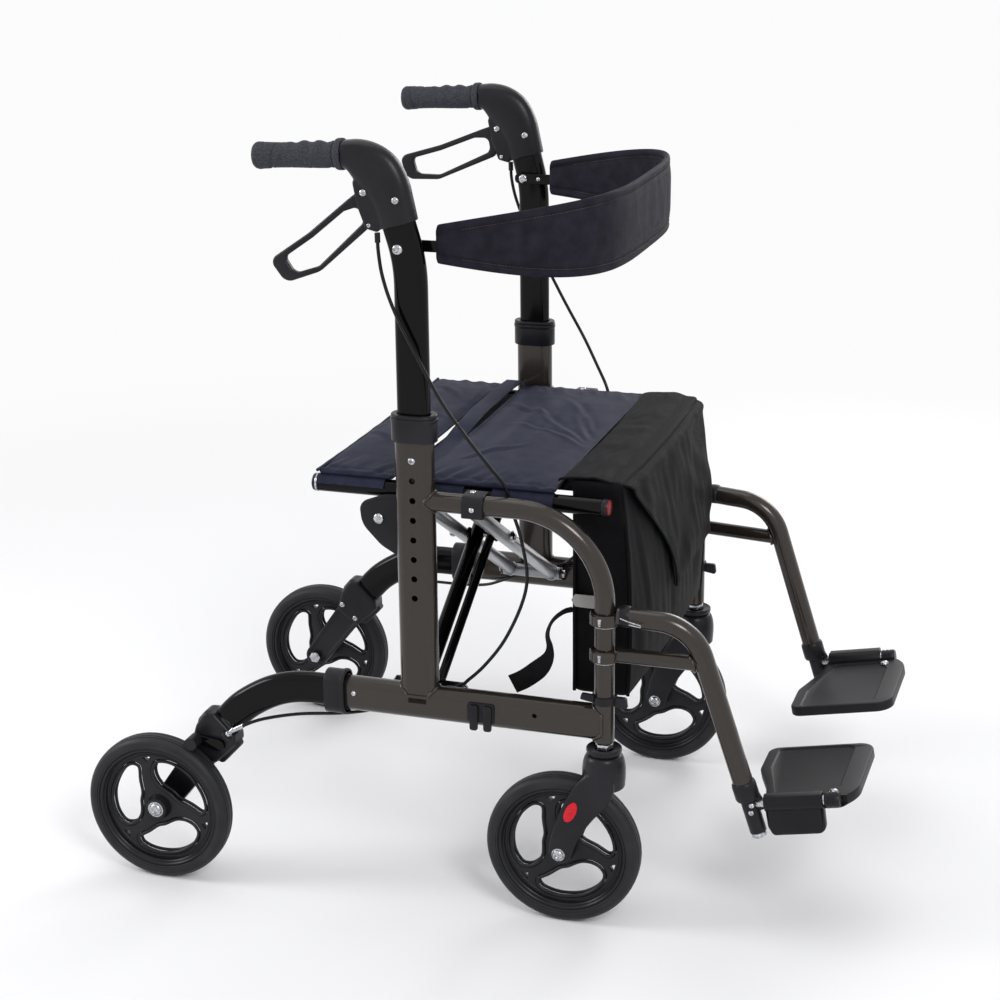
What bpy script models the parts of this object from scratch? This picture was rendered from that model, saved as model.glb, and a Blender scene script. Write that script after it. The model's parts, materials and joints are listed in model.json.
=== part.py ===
"""Rollator that doubles as a transport chair: four wheels, side-folding frame, sling seat.

Metres, +Z up. +X is the way it rolls, +Y its left side, and the origin is on the floor
under the middle of its length. The pieces are modelled from the main post's axis (x = 0),
and one empty then moves the whole object to its origin.
"""
import bmesh
import bpy
import numpy as np
from math import acos, atan2, ceil, cos, pi, radians, sin, sqrt
from mathutils import Matrix, Vector

# Gaps
GAP = 0.0003           # pieces that seat on each other
RUN = 0.0004           # shafts in bores
WELD = 0.00001         # merging a curve's caps

# Wheels
WHEEL_R = 0.100
TYRE_WIDE = 0.030
TYRE_DEEP = 0.0165
HUB_R = 0.017
HUB_WIDE = 0.030
AXLE_R = 0.005
WHEEL_SIDES = 28
REAR_AXLE_X = -0.354
REAR_WHEEL_Y = 0.290
CASTER_X = 0.240
CASTER_TRAIL = 0.052

# Side frame
FRAME_Y = 0.251
TUBE_R = 0.0127
POST_LONG = 0.050
POST_WIDE = 0.026
POST_TOP = 0.648
POST_WALL = 0.0022
POST_BORE_Z = 0.395
HOLE_PITCH = 0.0254
HOLE_TOP_Z = 0.596
HOLE_COUNT = 8
HOLE_R = 0.004
RAIL_Z = 0.2765
RAIL_HIGH = 0.046
RAIL_WIDE = 0.026
RAIL_REAR_X = -0.098
SLEEVE_LONG = 0.028
SLEEVE_HIGH = 0.059
SLEEVE_WIDE = 0.034
UPPER_Z = 0.543
UPPER_BEND_R = 0.110
FRONT_POST_Z = 0.252
LINK_PLATE_R = 0.050
LINK_PLATE_THICK = 0.004

# Height-adjusted handles
HANDLE_LONG = 0.042
HANDLE_WIDE = 0.020
HANDLE_FOOT_Z = 0.560
HANDLE_STRAIGHT_Z = 0.810   # the part that slides into the post ends here
HANDLE_Y = 0.256
HANDLE_LEAN = radians(15)
HANDLE_BEND_Z = 0.815
HANDLE_BEND_R = 0.200
HANDLE_TOP_Z = 0.884
COLLAR_TALL = 0.034
COLLAR_OVER = 0.029
COLLAR_WALL = 0.004
GRIP_R = 0.015
GRIP_LONG = 0.114
GRIP_TILT = radians(3)
HOUSING_WIDE = 0.032
LEVER_THICK = 0.010
LEVER_PIN_R = 0.003
LEVER_PIVOT = (-0.051, 0.922)
PARK_ANGLE = radians(18)
CABLE_R = 0.0022

# Rear leg and brake
LEG_LONG = 0.042
LEG_WIDE = 0.020
LEG_SPLAY_Y = 0.2565
SHANK_WIDE = 0.044
SHANK_THICK = 0.020
CLAMP_LONG = 0.058
CLAMP_DEEP = 0.046
CLAMP_THICK = 0.034
SHOE_R = 0.0085
SHOE_PIVOT = (-0.272, 0.190)
SHOE_TURN = radians(62)
SHOE_FREE = 0.0045
SHOE_PARKED = 0.0005

# Cross brace and seat
BRACE_Y = 0.222
BRACE_Z = 0.285
SEAT_RAIL_Z = 0.545
SEAT_RAIL_R = 0.011
SEAT_RAIL_X = (-0.145, 0.239)
ARM_R = 0.010
STAY_R = 0.006
ARM_SLEEVE_R = 0.009
ARM_SLEEVE_X = (-0.040, 0.046)
INNER_ARM_X = (-0.006, 0.014)
OUTER_ARM_X = (-0.028, 0.033)
BRACE_PIN_R = 0.004
EAR_THICK = 0.003
PAD_THICK = 0.014
PAD_CROWN = 0.006
REAR_PAD_X = (-0.143, -0.034)
FRONT_PAD_X = (-0.012, 0.174)
PAD_HALF = 0.2315

# Bag and back strap
BAG_X = (0.184, 0.262)
BAG_HALF = 0.205
BAG_Z = (0.290, 0.572)
FLAP_THICK = 0.005
FLAP_GAP = 0.0007
STRAP_PIVOT = (-0.011, 0.856)
STRAP_REACH = 0.222
STRAP_START_X = 0.027
STRAP_THICK = 0.009
STRAP_END_TALL = 0.046
STRAP_MID_TALL = 0.100
STRAP_BAR_TALL = 0.014
STRAP_BAR_THICK = 0.003
STRAP_BAR_Y = 0.2365
STRAP_BOSS_R = 0.007

# Footrests
HANGER_TOP_Z = 0.418
HANGER_BAR_Z = 0.367
HANGER_KNEE = 0.108
HANGER_BEND_R = 0.062
HANGER_LEAN = radians(18)
HANGER_FOOT_Z = 0.212
HANGER_TOE = radians(4.5)
HANGER_START = 0.0185
RING_R = 0.0185
RING_TALL = 0.015
FOOT_TUBE_R = 0.0105
FOOT_TUBE_Z = 0.143
FOOT_ROD_R = 0.0065
FOOT_ROD_Z = 0.185
FOOT_ROD_LONG = 0.112
FOOT_BARREL_R = 0.011
FOOT_BARREL_X = (0.019, 0.092)
FOOT_PITCH = radians(10.8)
PLATE_THICK = 0.013
PLATE_LONG = 0.138
PLATE_REAR = -0.008
PLATE_INNER_Y = 0.066
FLANGE_DROP = 0.042
FLANGE_THICK = 0.012

BRONZE = ((0.060, 0.048, 0.040, 1), 0.35, 0.8)
BLACK_PAINT = ((0.010, 0.010, 0.012, 1), 0.30, 0.2)
BLACK_PLASTIC = ((0.016, 0.016, 0.018, 1), 0.50, 0.0)
STEEL = ((0.60, 0.60, 0.62, 1), 0.25, 1.0)
RUBBER = ((0.014, 0.014, 0.016, 1), 0.70, 0.0)
SEAT_CLOTH = ((0.045, 0.048, 0.062, 1), 0.80, 0.0)
BLACK_CLOTH = ((0.012, 0.012, 0.014, 1), 0.90, 0.0)

for old in list(bpy.data.objects):
    bpy.data.objects.remove(old, do_unlink=True)
PARTS = bpy.data.collections.new("rollator")
CUTTERS = bpy.data.collections.new("cutters")
bpy.context.scene.collection.children.link(PARTS)
bpy.context.scene.collection.children.link(CUTTERS)


def new_object(name, data):
    obj = bpy.data.objects.new(name, data)
    PARTS.objects.link(obj)
    return obj


def mesh_object(name, bm, smooth=True):
    """Close a bmesh into a solid object with its faces pointing out."""
    bmesh.ops.remove_doubles(bm, verts=bm.verts, dist=WELD)
    bmesh.ops.recalc_face_normals(bm, faces=bm.faces)
    mesh = bpy.data.meshes.new(name)
    bm.to_mesh(mesh)
    bm.free()
    if smooth:
        mesh.shade_smooth()
        mesh.set_sharp_from_angle(angle=radians(35))
    return new_object(name, mesh)


def as_mesh(obj):
    """Turn a curve or a modified object into a plain closed mesh of the same name."""
    name = obj.name
    graph = bpy.context.evaluated_depsgraph_get()
    mesh = bpy.data.meshes.new_from_object(obj.evaluated_get(graph))
    mesh.transform(obj.matrix_world)
    bpy.data.objects.remove(obj, do_unlink=True)
    bm = bmesh.new()
    bm.from_mesh(mesh)
    return mesh_object(name, bm)


def boolean(obj, other, operation):
    """Cut obj by other, or join other to it, and keep other as a hidden guide."""
    modifier = obj.modifiers.new(other.name, "BOOLEAN")
    modifier.operation = operation
    modifier.solver = "EXACT"
    modifier.object = other
    PARTS.objects.unlink(other)
    CUTTERS.objects.link(other)
    other.hide_render = True
    other.display_type = "WIRE"
    return obj


def cut(obj, *others):
    for other in others:
        boolean(obj, other, "DIFFERENCE")
    return obj


def join(obj, *others):
    for other in others:
        boolean(obj, other, "UNION")
    return obj


def arc(centre, radius, start, end, steps):
    """Points of a round stretch, from start to end in degrees."""
    turns = np.linspace(radians(start), radians(end), steps + 1)
    return [(centre[0] + radius * cos(a), centre[1] + radius * sin(a)) for a in turns]


def oval(long, wide, steps=6, grow=0.0):
    """Outline of a flat-sided oval tube: long in u, wide in v."""
    r = wide / 2 + grow
    flat = (long - wide) / 2
    return arc((flat, 0), r, -90, 90, steps) + arc((-flat, 0), r, 90, 270, steps)


def capsule(p, q, rp, rq, steps=6):
    """Outline round two circles of unlike radius, such as a tapered lug."""
    p, q = Vector(p), Vector(q)
    along = (q - p).normalized()
    tilt = acos(max(-1.0, min(1.0, (rp - rq) / (q - p).length)))
    base = atan2(along.y, along.x)
    first = [(q.x + rq * cos(a), q.y + rq * sin(a))
             for a in np.linspace(base - tilt, base + tilt, steps + 1)]
    second = [(p.x + rp * cos(a), p.y + rp * sin(a))
              for a in np.linspace(base + tilt, base + 2 * pi - tilt, steps + 1)]
    return first + second


def rounded(corners, steps=4):
    """Outline through corners given as (u, v, radius), with each corner an arc."""
    outline = []
    count = len(corners)
    for i, (u, v, r) in enumerate(corners):
        here = Vector((u, v))
        before = (Vector(corners[i - 1][:2]) - here).normalized()
        after = (Vector(corners[(i + 1) % count][:2]) - here).normalized()
        if r == 0:
            outline.append(tuple(here))
            continue
        half = before.angle(after) / 2
        centre = here + (before + after).normalized() * r / sin(half)
        start = here + before * r / np.tan(half) - centre
        end = here + after * r / np.tan(half) - centre
        turn = start.angle_signed(end)
        for k in range(steps + 1):
            a = -turn * k / steps
            spoke = Vector((start.x * cos(a) - start.y * sin(a), start.x * sin(a) + start.y * cos(a)))
            outline.append(tuple(centre + spoke))
    return outline


FACING = {
    "X": Matrix(((0, 0, 1, 0), (1, 0, 0, 0), (0, 1, 0, 0), (0, 0, 0, 1))),
    "Y": Matrix(((1, 0, 0, 0), (0, 0, -1, 0), (0, 1, 0, 0), (0, 0, 0, 1))),
    "Z": Matrix.Identity(4),
}


def plate(name, outline, thick, facing, at, holes=()):
    """Flat outline with holes, extruded. Facing Y reads the outline as (x, z), X as (y, z)."""
    curve = bpy.data.curves.new(name, "CURVE")
    curve.dimensions = "2D"
    curve.fill_mode = "BOTH"
    curve.extrude = thick / 2
    for ring in (outline, *holes):
        spline = curve.splines.new("POLY")
        spline.points.add(len(ring) - 1)
        for point, (u, v) in zip(spline.points, ring):
            point.co = (u, v, 0, 1)
        spline.use_cyclic_u = True
    obj = new_object(name, curve)
    obj.matrix_world = Matrix.Translation(at) @ FACING[facing]
    bpy.context.view_layer.update()
    return as_mesh(obj)


def rod(name, start, end, radius, sides=16, end_radius=None):
    """Straight round bar, bore or cone between two points."""
    start, end = Vector(start), Vector(end)
    axis = end - start
    bm = bmesh.new()
    bmesh.ops.create_cone(
        bm, cap_ends=True, segments=sides, radius1=radius,
        radius2=radius if end_radius is None else end_radius, depth=axis.length)
    turn = Vector((0, 0, 1)).rotation_difference(axis).to_matrix().to_4x4()
    bmesh.ops.transform(bm, matrix=Matrix.Translation((start + end) / 2) @ turn, verts=bm.verts)
    return mesh_object(name, bm)


def box(name, low, high, chamfer=0.0):
    bm = bmesh.new()
    bmesh.ops.create_cube(bm, size=1)
    low, high = Vector(low), Vector(high)
    for vert in bm.verts:
        vert.co = Vector(a + (c + 0.5) * (b - a) for a, b, c in zip(low, high, vert.co))
    if chamfer:
        bmesh.ops.bevel(bm, geom=list(bm.edges), offset=chamfer, segments=2, affect="EDGES")
    return mesh_object(name, bm)


def bend(corners, radius, steps=6):
    """Path through corners with a bend of the given radius at each inner one."""
    points = [Vector(corners[0])]
    for before, here, after in zip(corners, corners[1:], corners[2:]):
        here = Vector(here)
        a = (Vector(before) - here).normalized()
        b = (Vector(after) - here).normalized()
        half = a.angle(b) / 2
        centre = here + (a + b).normalized() * radius / sin(half)
        start = here + a * radius / np.tan(half) - centre
        end = here + b * radius / np.tan(half) - centre
        axis = start.cross(end).normalized()
        turn = start.angle(end)
        for k in range(steps + 1):
            points.append(centre + Matrix.Rotation(turn * k / steps, 3, axis) @ start)
    points.append(Vector(corners[-1]))
    return points


def tube(name, path, radius, resolution=4):
    """Round tube along a path, as a curve with a bevel depth and filled caps."""
    curve = bpy.data.curves.new(name, "CURVE")
    curve.dimensions = "3D"
    curve.bevel_depth = radius
    curve.bevel_resolution = resolution
    curve.use_fill_caps = True
    spline = curve.splines.new("POLY")
    spline.points.add(len(path) - 1)
    for point, co in zip(spline.points, path):
        point.co = (*co, 1)
    return new_object(name, curve)


def smooth_path(points, step):
    """Even points on one smooth curve through the route's own points."""
    pts = [Vector(p) for p in points]
    pts = [2 * pts[0] - pts[1]] + pts + [2 * pts[-1] - pts[-2]]
    path = [pts[1]]
    for a, b, c, d in zip(pts, pts[1:], pts[2:], pts[3:]):
        count = max(1, ceil((c - b).length / step))
        for k in range(1, count + 1):
            t = k / count
            path.append(0.5 * (2 * b + (c - a) * t + (2 * a - 5 * b + 4 * c - d) * t ** 2
                               + (3 * b - a - 3 * c + d) * t ** 3))
    return path


def loft(name, rings):
    """Closed skin through rings of points, each ring with the same count."""
    bm = bmesh.new()
    rows = [[bm.verts.new(p) for p in ring] for ring in rings]
    count = len(rows[0])
    for a, b in zip(rows, rows[1:]):
        for i in range(count):
            j = (i + 1) % count
            bm.faces.new((a[i], a[j], b[j], b[i]))
    bm.faces.new(rows[0][::-1])
    bm.faces.new(rows[-1])
    return mesh_object(name, bm)


def ring_in_side_view(inner, outer, y, half_wide, sides=12, square=2.6):
    """Rounded section across a side-view form, between an inner and an outer point."""
    inner, outer = Vector((inner[0], 0, inner[1])), Vector((outer[0], 0, outer[1]))
    middle, reach = (inner + outer) / 2, (outer - inner) / 2
    points = []
    for k in range(sides):
        a = 2 * pi * k / sides
        c = abs(cos(a)) ** (2 / square) * (1 if cos(a) >= 0 else -1)
        s = abs(sin(a)) ** (2 / square) * (1 if sin(a) >= 0 else -1)
        points.append(middle + reach * c + Vector((0, y + half_wide * s, 0)))
    return points


def turned(name, profile, placement, sides=WHEEL_SIDES, closed=False):
    """Profile of (radius, height) turned about Z by a Screw modifier, then placed."""
    mesh = bpy.data.meshes.new(name)
    verts = [(r, 0, h) for r, h in profile]
    edges = [(i, i + 1) for i in range(len(verts) - 1)]
    if closed:
        edges.append((len(verts) - 1, 0))
    mesh.from_pydata(verts, edges, [])
    obj = new_object(name, mesh)
    screw = obj.modifiers.new("turn", "SCREW")
    screw.steps = sides
    screw.render_steps = sides
    screw.use_merge_vertices = True
    screw.merge_threshold = WELD
    obj.matrix_world = placement
    bpy.context.view_layer.update()
    return as_mesh(obj)


def spin_about_y(x, y, z):
    """Placement that lays a turned piece's axis along Y."""
    return Matrix.Translation((x, y, z)) @ Matrix.Rotation(radians(-90), 4, "X")


def named(obj, name):
    obj.name = name
    obj.data.name = name
    return obj


def wheel(name, x, y):
    """Moulded wheel: rim, three S-curved spokes with teardrop openings, and a hub."""
    rim_outer = WHEEL_R - TYRE_DEEP - GAP
    rim_inner = rim_outer - 0.0045
    half = TYRE_WIDE / 2 - 0.003
    rim = turned(name, [(rim_outer, half), (rim_outer, -half), (rim_inner, -half),
                        (rim_inner, half)], spin_about_y(x, y, WHEEL_R), closed=True)
    web_r = rim_inner + 0.002
    holes = [wheel_opening(turn) for turn in (-126, -6, 114)]
    holes += [wheel_eyelet(turn) for turn in (-126, -6, 114)]
    web = plate(name + "_web", arc((0, 0), web_r, 0, 360 - 360 / WHEEL_SIDES, WHEEL_SIDES - 1),
                0.010, "Y", (x, y, WHEEL_R), holes)
    hub = rod(name + "_hub", (x, y - HUB_WIDE / 2, WHEEL_R), (x, y + HUB_WIDE / 2, WHEEL_R),
              HUB_R, 16)
    bore = rod(name + "_bore", (x, y - HUB_WIDE, WHEEL_R), (x, y + HUB_WIDE, WHEEL_R),
               AXLE_R + RUN, 12)
    return cut(join(rim, web, hub), bore)


def wheel_opening(turn):
    """One large teardrop opening: a drawn-out tail by the rim, then a wide round head."""
    shape = ((0, 0.60), (9, 0.42), (26, 0.27), (52, 0.235), (80, 0.235), (99, 0.29), (107, 0.41),
             (105, 0.55), (96, 0.66), (78, 0.70), (55, 0.705), (30, 0.705), (10, 0.70))
    return [polar(r * WHEEL_R, turn + a) for a, r in shape]


def wheel_eyelet(turn):
    """Small triangular opening by the rim, at each spoke's root."""
    shape = ((-14, 0.730), (-17, 0.772), (-11, 0.772))
    return [polar(r * WHEEL_R, turn + a) for a, r in shape]


def polar(radius, angle):
    return (radius * cos(radians(angle)), radius * sin(radians(angle)))


def tyre(name, x, y):
    half = TYRE_WIDE / 2
    inner = WHEEL_R - TYRE_DEEP
    profile = [(inner, half - 0.003), (WHEEL_R - 0.007, half), (WHEEL_R, half - 0.008),
               (WHEEL_R, -half + 0.008), (WHEEL_R - 0.007, -half), (inner, -half + 0.003)]
    return turned(name, profile, spin_about_y(x, y, WHEEL_R), closed=True)


def main_post(side, s):
    """Oval main post, bored for the handle tube, drilled at the pitch of the height steps."""
    y = s * FRAME_Y
    foot = RAIL_Z
    tall = POST_TOP - foot
    middle = (POST_TOP + foot) / 2
    post = plate("post_" + side, oval(POST_LONG, POST_WIDE), tall, "Z", (0, y, middle))
    depth = POST_TOP - POST_BORE_Z
    bore = plate("post_bore_" + side, oval(POST_LONG, POST_WIDE, grow=-POST_WALL), depth + 0.02,
                 "Z", (0, y, POST_BORE_Z + depth / 2 + 0.01))
    saddle = plate("post_saddle_" + side, rotated_oval(RAIL_HIGH, RAIL_WIDE, GAP), 0.2, "X",
                   (0, y, RAIL_Z))
    cut(join(post, link_plate(side, s)), bore, saddle)
    for k in range(HOLE_COUNT):
        z = HOLE_TOP_Z - k * HOLE_PITCH
        cut(post, rod("post_hole_%s_%d" % (side, k), (0, y, z), (0, s * (FRAME_Y + 0.02), z),
                      HOLE_R, 8))
    return post


def rotated_oval(high, wide, grow=0.0):
    """The lower rail's section, standing on its narrow side."""
    return [(v, u) for u, v in oval(high, wide, grow=grow)][::-1]


def link_plate(side, s):
    """Half-round plate that stands back from the post on its inner side."""
    x0 = -POST_LONG / 2
    corners = [(x0 + 0.015, 0.543, 0.002), (x0 - 0.022, 0.541, 0.012), (x0 - 0.056, 0.528, 0.014),
               (x0 - 0.053, 0.500, 0.030), (x0 - 0.028, 0.474, 0.040), (x0 + 0.015, 0.450, 0.004)]
    plate_y = s * (FRAME_Y - POST_WIDE / 2 + LINK_PLATE_THICK / 2 - 0.001)
    lug = plate("link_plate_" + side, rounded(corners), LINK_PLATE_THICK, "Y", (0, plate_y, 0))
    bolt = rod("link_bolt_" + side, (x0 - 0.030, plate_y - s * 0.004, 0.509),
               (x0 - 0.030, plate_y + s * 0.006, 0.509), 0.0055, 12)
    return join(lug, bolt)


def lower_rail(side, s):
    """Oval lower rail with the rear leg's sleeve and the cross brace's ears and pin."""
    y = s * FRAME_Y
    x0 = RAIL_REAR_X - SLEEVE_LONG
    x1 = CASTER_X
    rail = plate("lower_rail_" + side, rotated_oval(RAIL_HIGH, RAIL_WIDE), x1 - x0 - 0.002, "X",
                 ((x0 + x1) / 2 + 0.001, y, RAIL_Z))
    sleeve = plate("sleeve_" + side, rotated_oval(SLEEVE_HIGH, SLEEVE_WIDE), SLEEVE_LONG, "X",
                   (x0 + SLEEVE_LONG / 2, y, RAIL_Z))
    join(rail, sleeve)
    for tag, x in (("rear", ARM_SLEEVE_X[0] - GAP - EAR_THICK / 2),
                   ("front", ARM_SLEEVE_X[1] + GAP + EAR_THICK / 2)):
        inner = s * BRACE_Y
        root = s * (FRAME_Y - RAIL_WIDE / 2 + 0.002)
        ear = plate("ear_%s_%s" % (tag, side), capsule((root, BRACE_Z - 0.006), (inner, BRACE_Z),
                                                       0.010, 0.009), EAR_THICK, "X", (x, 0, 0))
        join(rail, ear)
    pin = rod("brace_pin_" + side, (ARM_SLEEVE_X[0] - 0.006, s * BRACE_Y, BRACE_Z),
              (ARM_SLEEVE_X[1] + 0.006, s * BRACE_Y, BRACE_Z), BRACE_PIN_R, 12)
    join(rail, pin)
    socket = plate("leg_socket_" + side, rotated_oval(LEG_LONG, LEG_WIDE, GAP), 0.050, "X",
                   (x0, y, RAIL_Z))
    fish = rod("rail_fish_" + side, (CASTER_X, y, 0.2), (CASTER_X, y, 0.35), TUBE_R + GAP, 24)
    return cut(rail, socket, fish)


def front_frame(side, s):
    """Upper side rail bent down into the front post, fish-mouthed on the main post."""
    y = s * FRAME_Y
    path = bend([(0, y, UPPER_Z), (CASTER_X, y, UPPER_Z), (CASTER_X, y, FRONT_POST_Z)],
                UPPER_BEND_R, 8)
    frame = as_mesh(tube("front_frame_" + side, path, TUBE_R, 4))
    mouth = plate("post_mouth_" + side, oval(POST_LONG, POST_WIDE, grow=GAP), 0.1, "Z",
                  (0, y, UPPER_Z))
    inside = box("mouth_clear_" + side, (-0.03, y - 0.02, UPPER_Z - 0.03),
                 (0.0, y + 0.02, UPPER_Z + 0.03))
    stem = rod("stem_bore_" + side, (CASTER_X, y, 0.2), (CASTER_X, y, 0.295), 0.0075, 16)
    return cut(frame, mouth, inside, stem)


def post_collar(side, s):
    """Plastic collar over the post's top that guides the handle tube."""
    y = s * FRAME_Y
    low = POST_TOP - COLLAR_OVER
    high = low + COLLAR_TALL
    collar = plate("post_collar_" + side, oval(POST_LONG, POST_WIDE, grow=COLLAR_WALL),
                   COLLAR_TALL, "Z", (0, y, (low + high) / 2))
    over = plate("collar_over_" + side, oval(POST_LONG, POST_WIDE, grow=GAP), 2 * COLLAR_OVER,
                 "Z", (0, y, POST_TOP + GAP - COLLAR_OVER))
    slide = plate("collar_slide_" + side, handle_outline(side, RUN), 0.1, "Z",
                  (0, 0, POST_TOP))
    return cut(collar, over, slide)


def handle_outline(side, grow=0.0):
    s = -1 if side == "right" else 1
    return [(u, v + s * FRAME_Y) for u, v in oval(HANDLE_LONG, HANDLE_WIDE, grow=grow)]


def handle_axis(z):
    """Centre of the handle tube at a height, as (x, lean)."""
    if z < HANDLE_BEND_Z:
        return 0.0, 0.0
    rise = z - HANDLE_BEND_Z
    top = HANDLE_BEND_R * sin(HANDLE_LEAN)
    if rise < top:
        lean = np.arcsin(rise / HANDLE_BEND_R)
        return -HANDLE_BEND_R * (1 - cos(lean)), lean
    return (-HANDLE_BEND_R * (1 - cos(HANDLE_LEAN)) - (rise - top) * np.tan(HANDLE_LEAN),
            HANDLE_LEAN)


def handle_y(z):
    """Distance of the handle tube from the middle: it leans out above its sliding length."""
    rise = max(0, z - HANDLE_STRAIGHT_Z) / (HANDLE_TOP_Z - HANDLE_STRAIGHT_Z)
    return FRAME_Y + (HANDLE_Y - FRAME_Y) * rise


def handle_tube(side, s):
    """Oval handle tube: straight in the post, then leaning back towards the grip."""
    rings = []
    for z in [HANDLE_FOOT_Z, HANDLE_STRAIGHT_Z, HANDLE_BEND_Z, 0.826, 0.838, 0.850, 0.862,
              HANDLE_TOP_Z]:
        x, lean = handle_axis(z)
        along = Vector((cos(lean), 0, sin(lean)))
        rings.append([Vector((x, s * handle_y(z), z)) + along * u + Vector((0, v, 0))
                      for u, v in oval(HANDLE_LONG, HANDLE_WIDE)])
    return loft("handle_tube_" + side, rings)


def handle_housing(side, s):
    """Moulded elbow from the leaning oval tube to the round grip, slotted for the lever."""
    y = s * HANDLE_Y
    sections = [((-0.0340, 0.8782), (0.0115, 0.8904)), ((-0.0410, 0.9000), (0.0065, 0.9140)),
                ((-0.0500, 0.9150), (0.0010, 0.9370)), ((-0.0580, 0.9250), (-0.0090, 0.9570)),
                ((-0.0640, 0.9340), (-0.0220, 0.9700)), ((-0.0690, 0.9420), (-0.0400, 0.9790)),
                ((-0.0730, 0.9470), (-0.0600, 0.9825)), ((-0.0769, 0.9480), (-0.0786, 0.9808))]
    rings = [ring_in_side_view(low, high, y, HOUSING_WIDE / 2 + 0.001 * (k > 5))
             for k, (low, high) in enumerate(sections)]
    skin = loft("handle_housing_" + side, rings)
    x, z = LEVER_PIVOT
    cheeks = plate("cheeks_" + side, capsule((x, z), (x + 0.024, z + 0.004), 0.012, 0.014),
                   HOUSING_WIDE - 0.008, "Y", (0, y, 0))
    slot = plate("lever_slot_" + side,
                 rounded([(x - 0.030, z - 0.046, 0), (x + 0.012, z - 0.030, 0.008),
                          (x + 0.014, z + 0.020, 0.008), (x - 0.030, z + 0.020, 0)]),
                 LEVER_THICK + 2 * RUN, "Y", (0, y, 0))
    pin = rod("lever_pin_" + side, (x, y - HOUSING_WIDE / 2 + 0.004, z),
              (x, y + HOUSING_WIDE / 2 - 0.004, z), LEVER_PIN_R, 12)
    tube_top = handle_socket(side, s)
    return join(cut(join(skin, cheeks), slot, tube_top), pin)


def handle_socket(side, s):
    """Short cutter that seats the housing on the end of the handle tube."""
    x, lean = handle_axis(HANDLE_TOP_Z)
    along = Vector((cos(lean), 0, sin(lean)))
    up = Vector((-sin(lean), 0, cos(lean)))
    rings = []
    for rise in (-0.020, GAP):
        base = Vector((x, s * HANDLE_Y, HANDLE_TOP_Z)) + up * rise
        rings.append([base + along * u + Vector((0, v, 0))
                      for u, v in oval(HANDLE_LONG, HANDLE_WIDE, grow=GAP)])
    return loft("handle_socket_" + side, rings)


def grip(side, s):
    """Rubber grip: flange by the housing, waisted barrel and a rounded free end."""
    r = GRIP_R
    long = GRIP_LONG
    profile = [(0, long), (r * 0.75, long), (r * 1.02, long - 0.005), (r * 1.06, long - 0.012),
               (r * 0.98, long - 0.020), (r, long - 0.045), (r * 1.05, 0.040), (r, 0.012),
               (r * 1.22, 0.008), (r * 1.25, 0.0), (0, 0)]
    start = Matrix.Translation((-0.0778 - GAP, s * HANDLE_Y, 0.9644))
    lay = start @ Matrix.Rotation(radians(-90) - GRIP_TILT, 4, "Y")
    return turned("grip_" + side, profile, lay, 16)


def brake_lever(side, s):
    """Open loop lever. The right one is photographed pushed down into its parking place."""
    y = s * HANDLE_Y
    outer = rounded([(0.008, 0.009, 0.008), (-0.024, -0.003, 0.012), (-0.086, -0.020, 0.060),
                     (-0.140, -0.043, 0.012), (-0.129, -0.068, 0.012), (-0.086, -0.074, 0.020),
                     (-0.007, -0.040, 0.010), (0.009, -0.012, 0.008)], 3)
    hole = rounded([(-0.014, -0.013, 0.008), (-0.031, -0.013, 0.010), (-0.084, -0.027, 0.050),
                    (-0.129, -0.046, 0.007), (-0.121, -0.062, 0.008), (-0.087, -0.067, 0.016),
                    (-0.013, -0.033, 0.010)], 3)
    lean = PARK_ANGLE if side == "right" else 0.0
    bore = arc((0, 0), LEVER_PIN_R + RUN, 0, 330, 11)
    outer, hole = turned_outline(outer, lean), turned_outline(hole, lean)
    x, z = LEVER_PIVOT
    lever = plate("brake_lever_" + side, outer, LEVER_THICK, "Y", (x, y, z), [hole, bore])
    return lever


def turned_outline(outline, angle):
    return [(u * cos(angle) - v * sin(angle), u * sin(angle) + v * cos(angle))
            for u, v in outline]


def rear_leg(side, s):
    """Bent oval leg from the rail's sleeve down towards the rear wheel."""
    spine = [(-0.102, 0.2765), (-0.126, 0.2765), (-0.150, 0.2765), (-0.175, 0.274),
             (-0.200, 0.2665), (-0.224, 0.254), (-0.245, 0.239), (-0.262, 0.2215),
             (-0.278, 0.202), (-0.294, 0.182)]
    rings = []
    for k, (x, z) in enumerate(spine):
        before, after = spine[max(0, k - 1)], spine[min(len(spine) - 1, k + 1)]
        along = Vector((after[0] - before[0], 0, after[1] - before[1])).normalized()
        if k < 3:
            along = Vector((-1, 0, 0))
        across = Vector((-along.z, 0, along.x))
        t = max(0.0, (-0.150 - x) / 0.144)
        y = s * (FRAME_Y + (LEG_SPLAY_Y - FRAME_Y) * t)
        rings.append([Vector((x, y, z)) + across * u + Vector((0, v, 0))
                      for u, v in oval(LEG_LONG, LEG_WIDE)])
    return loft("rear_leg_" + side, rings)


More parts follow.
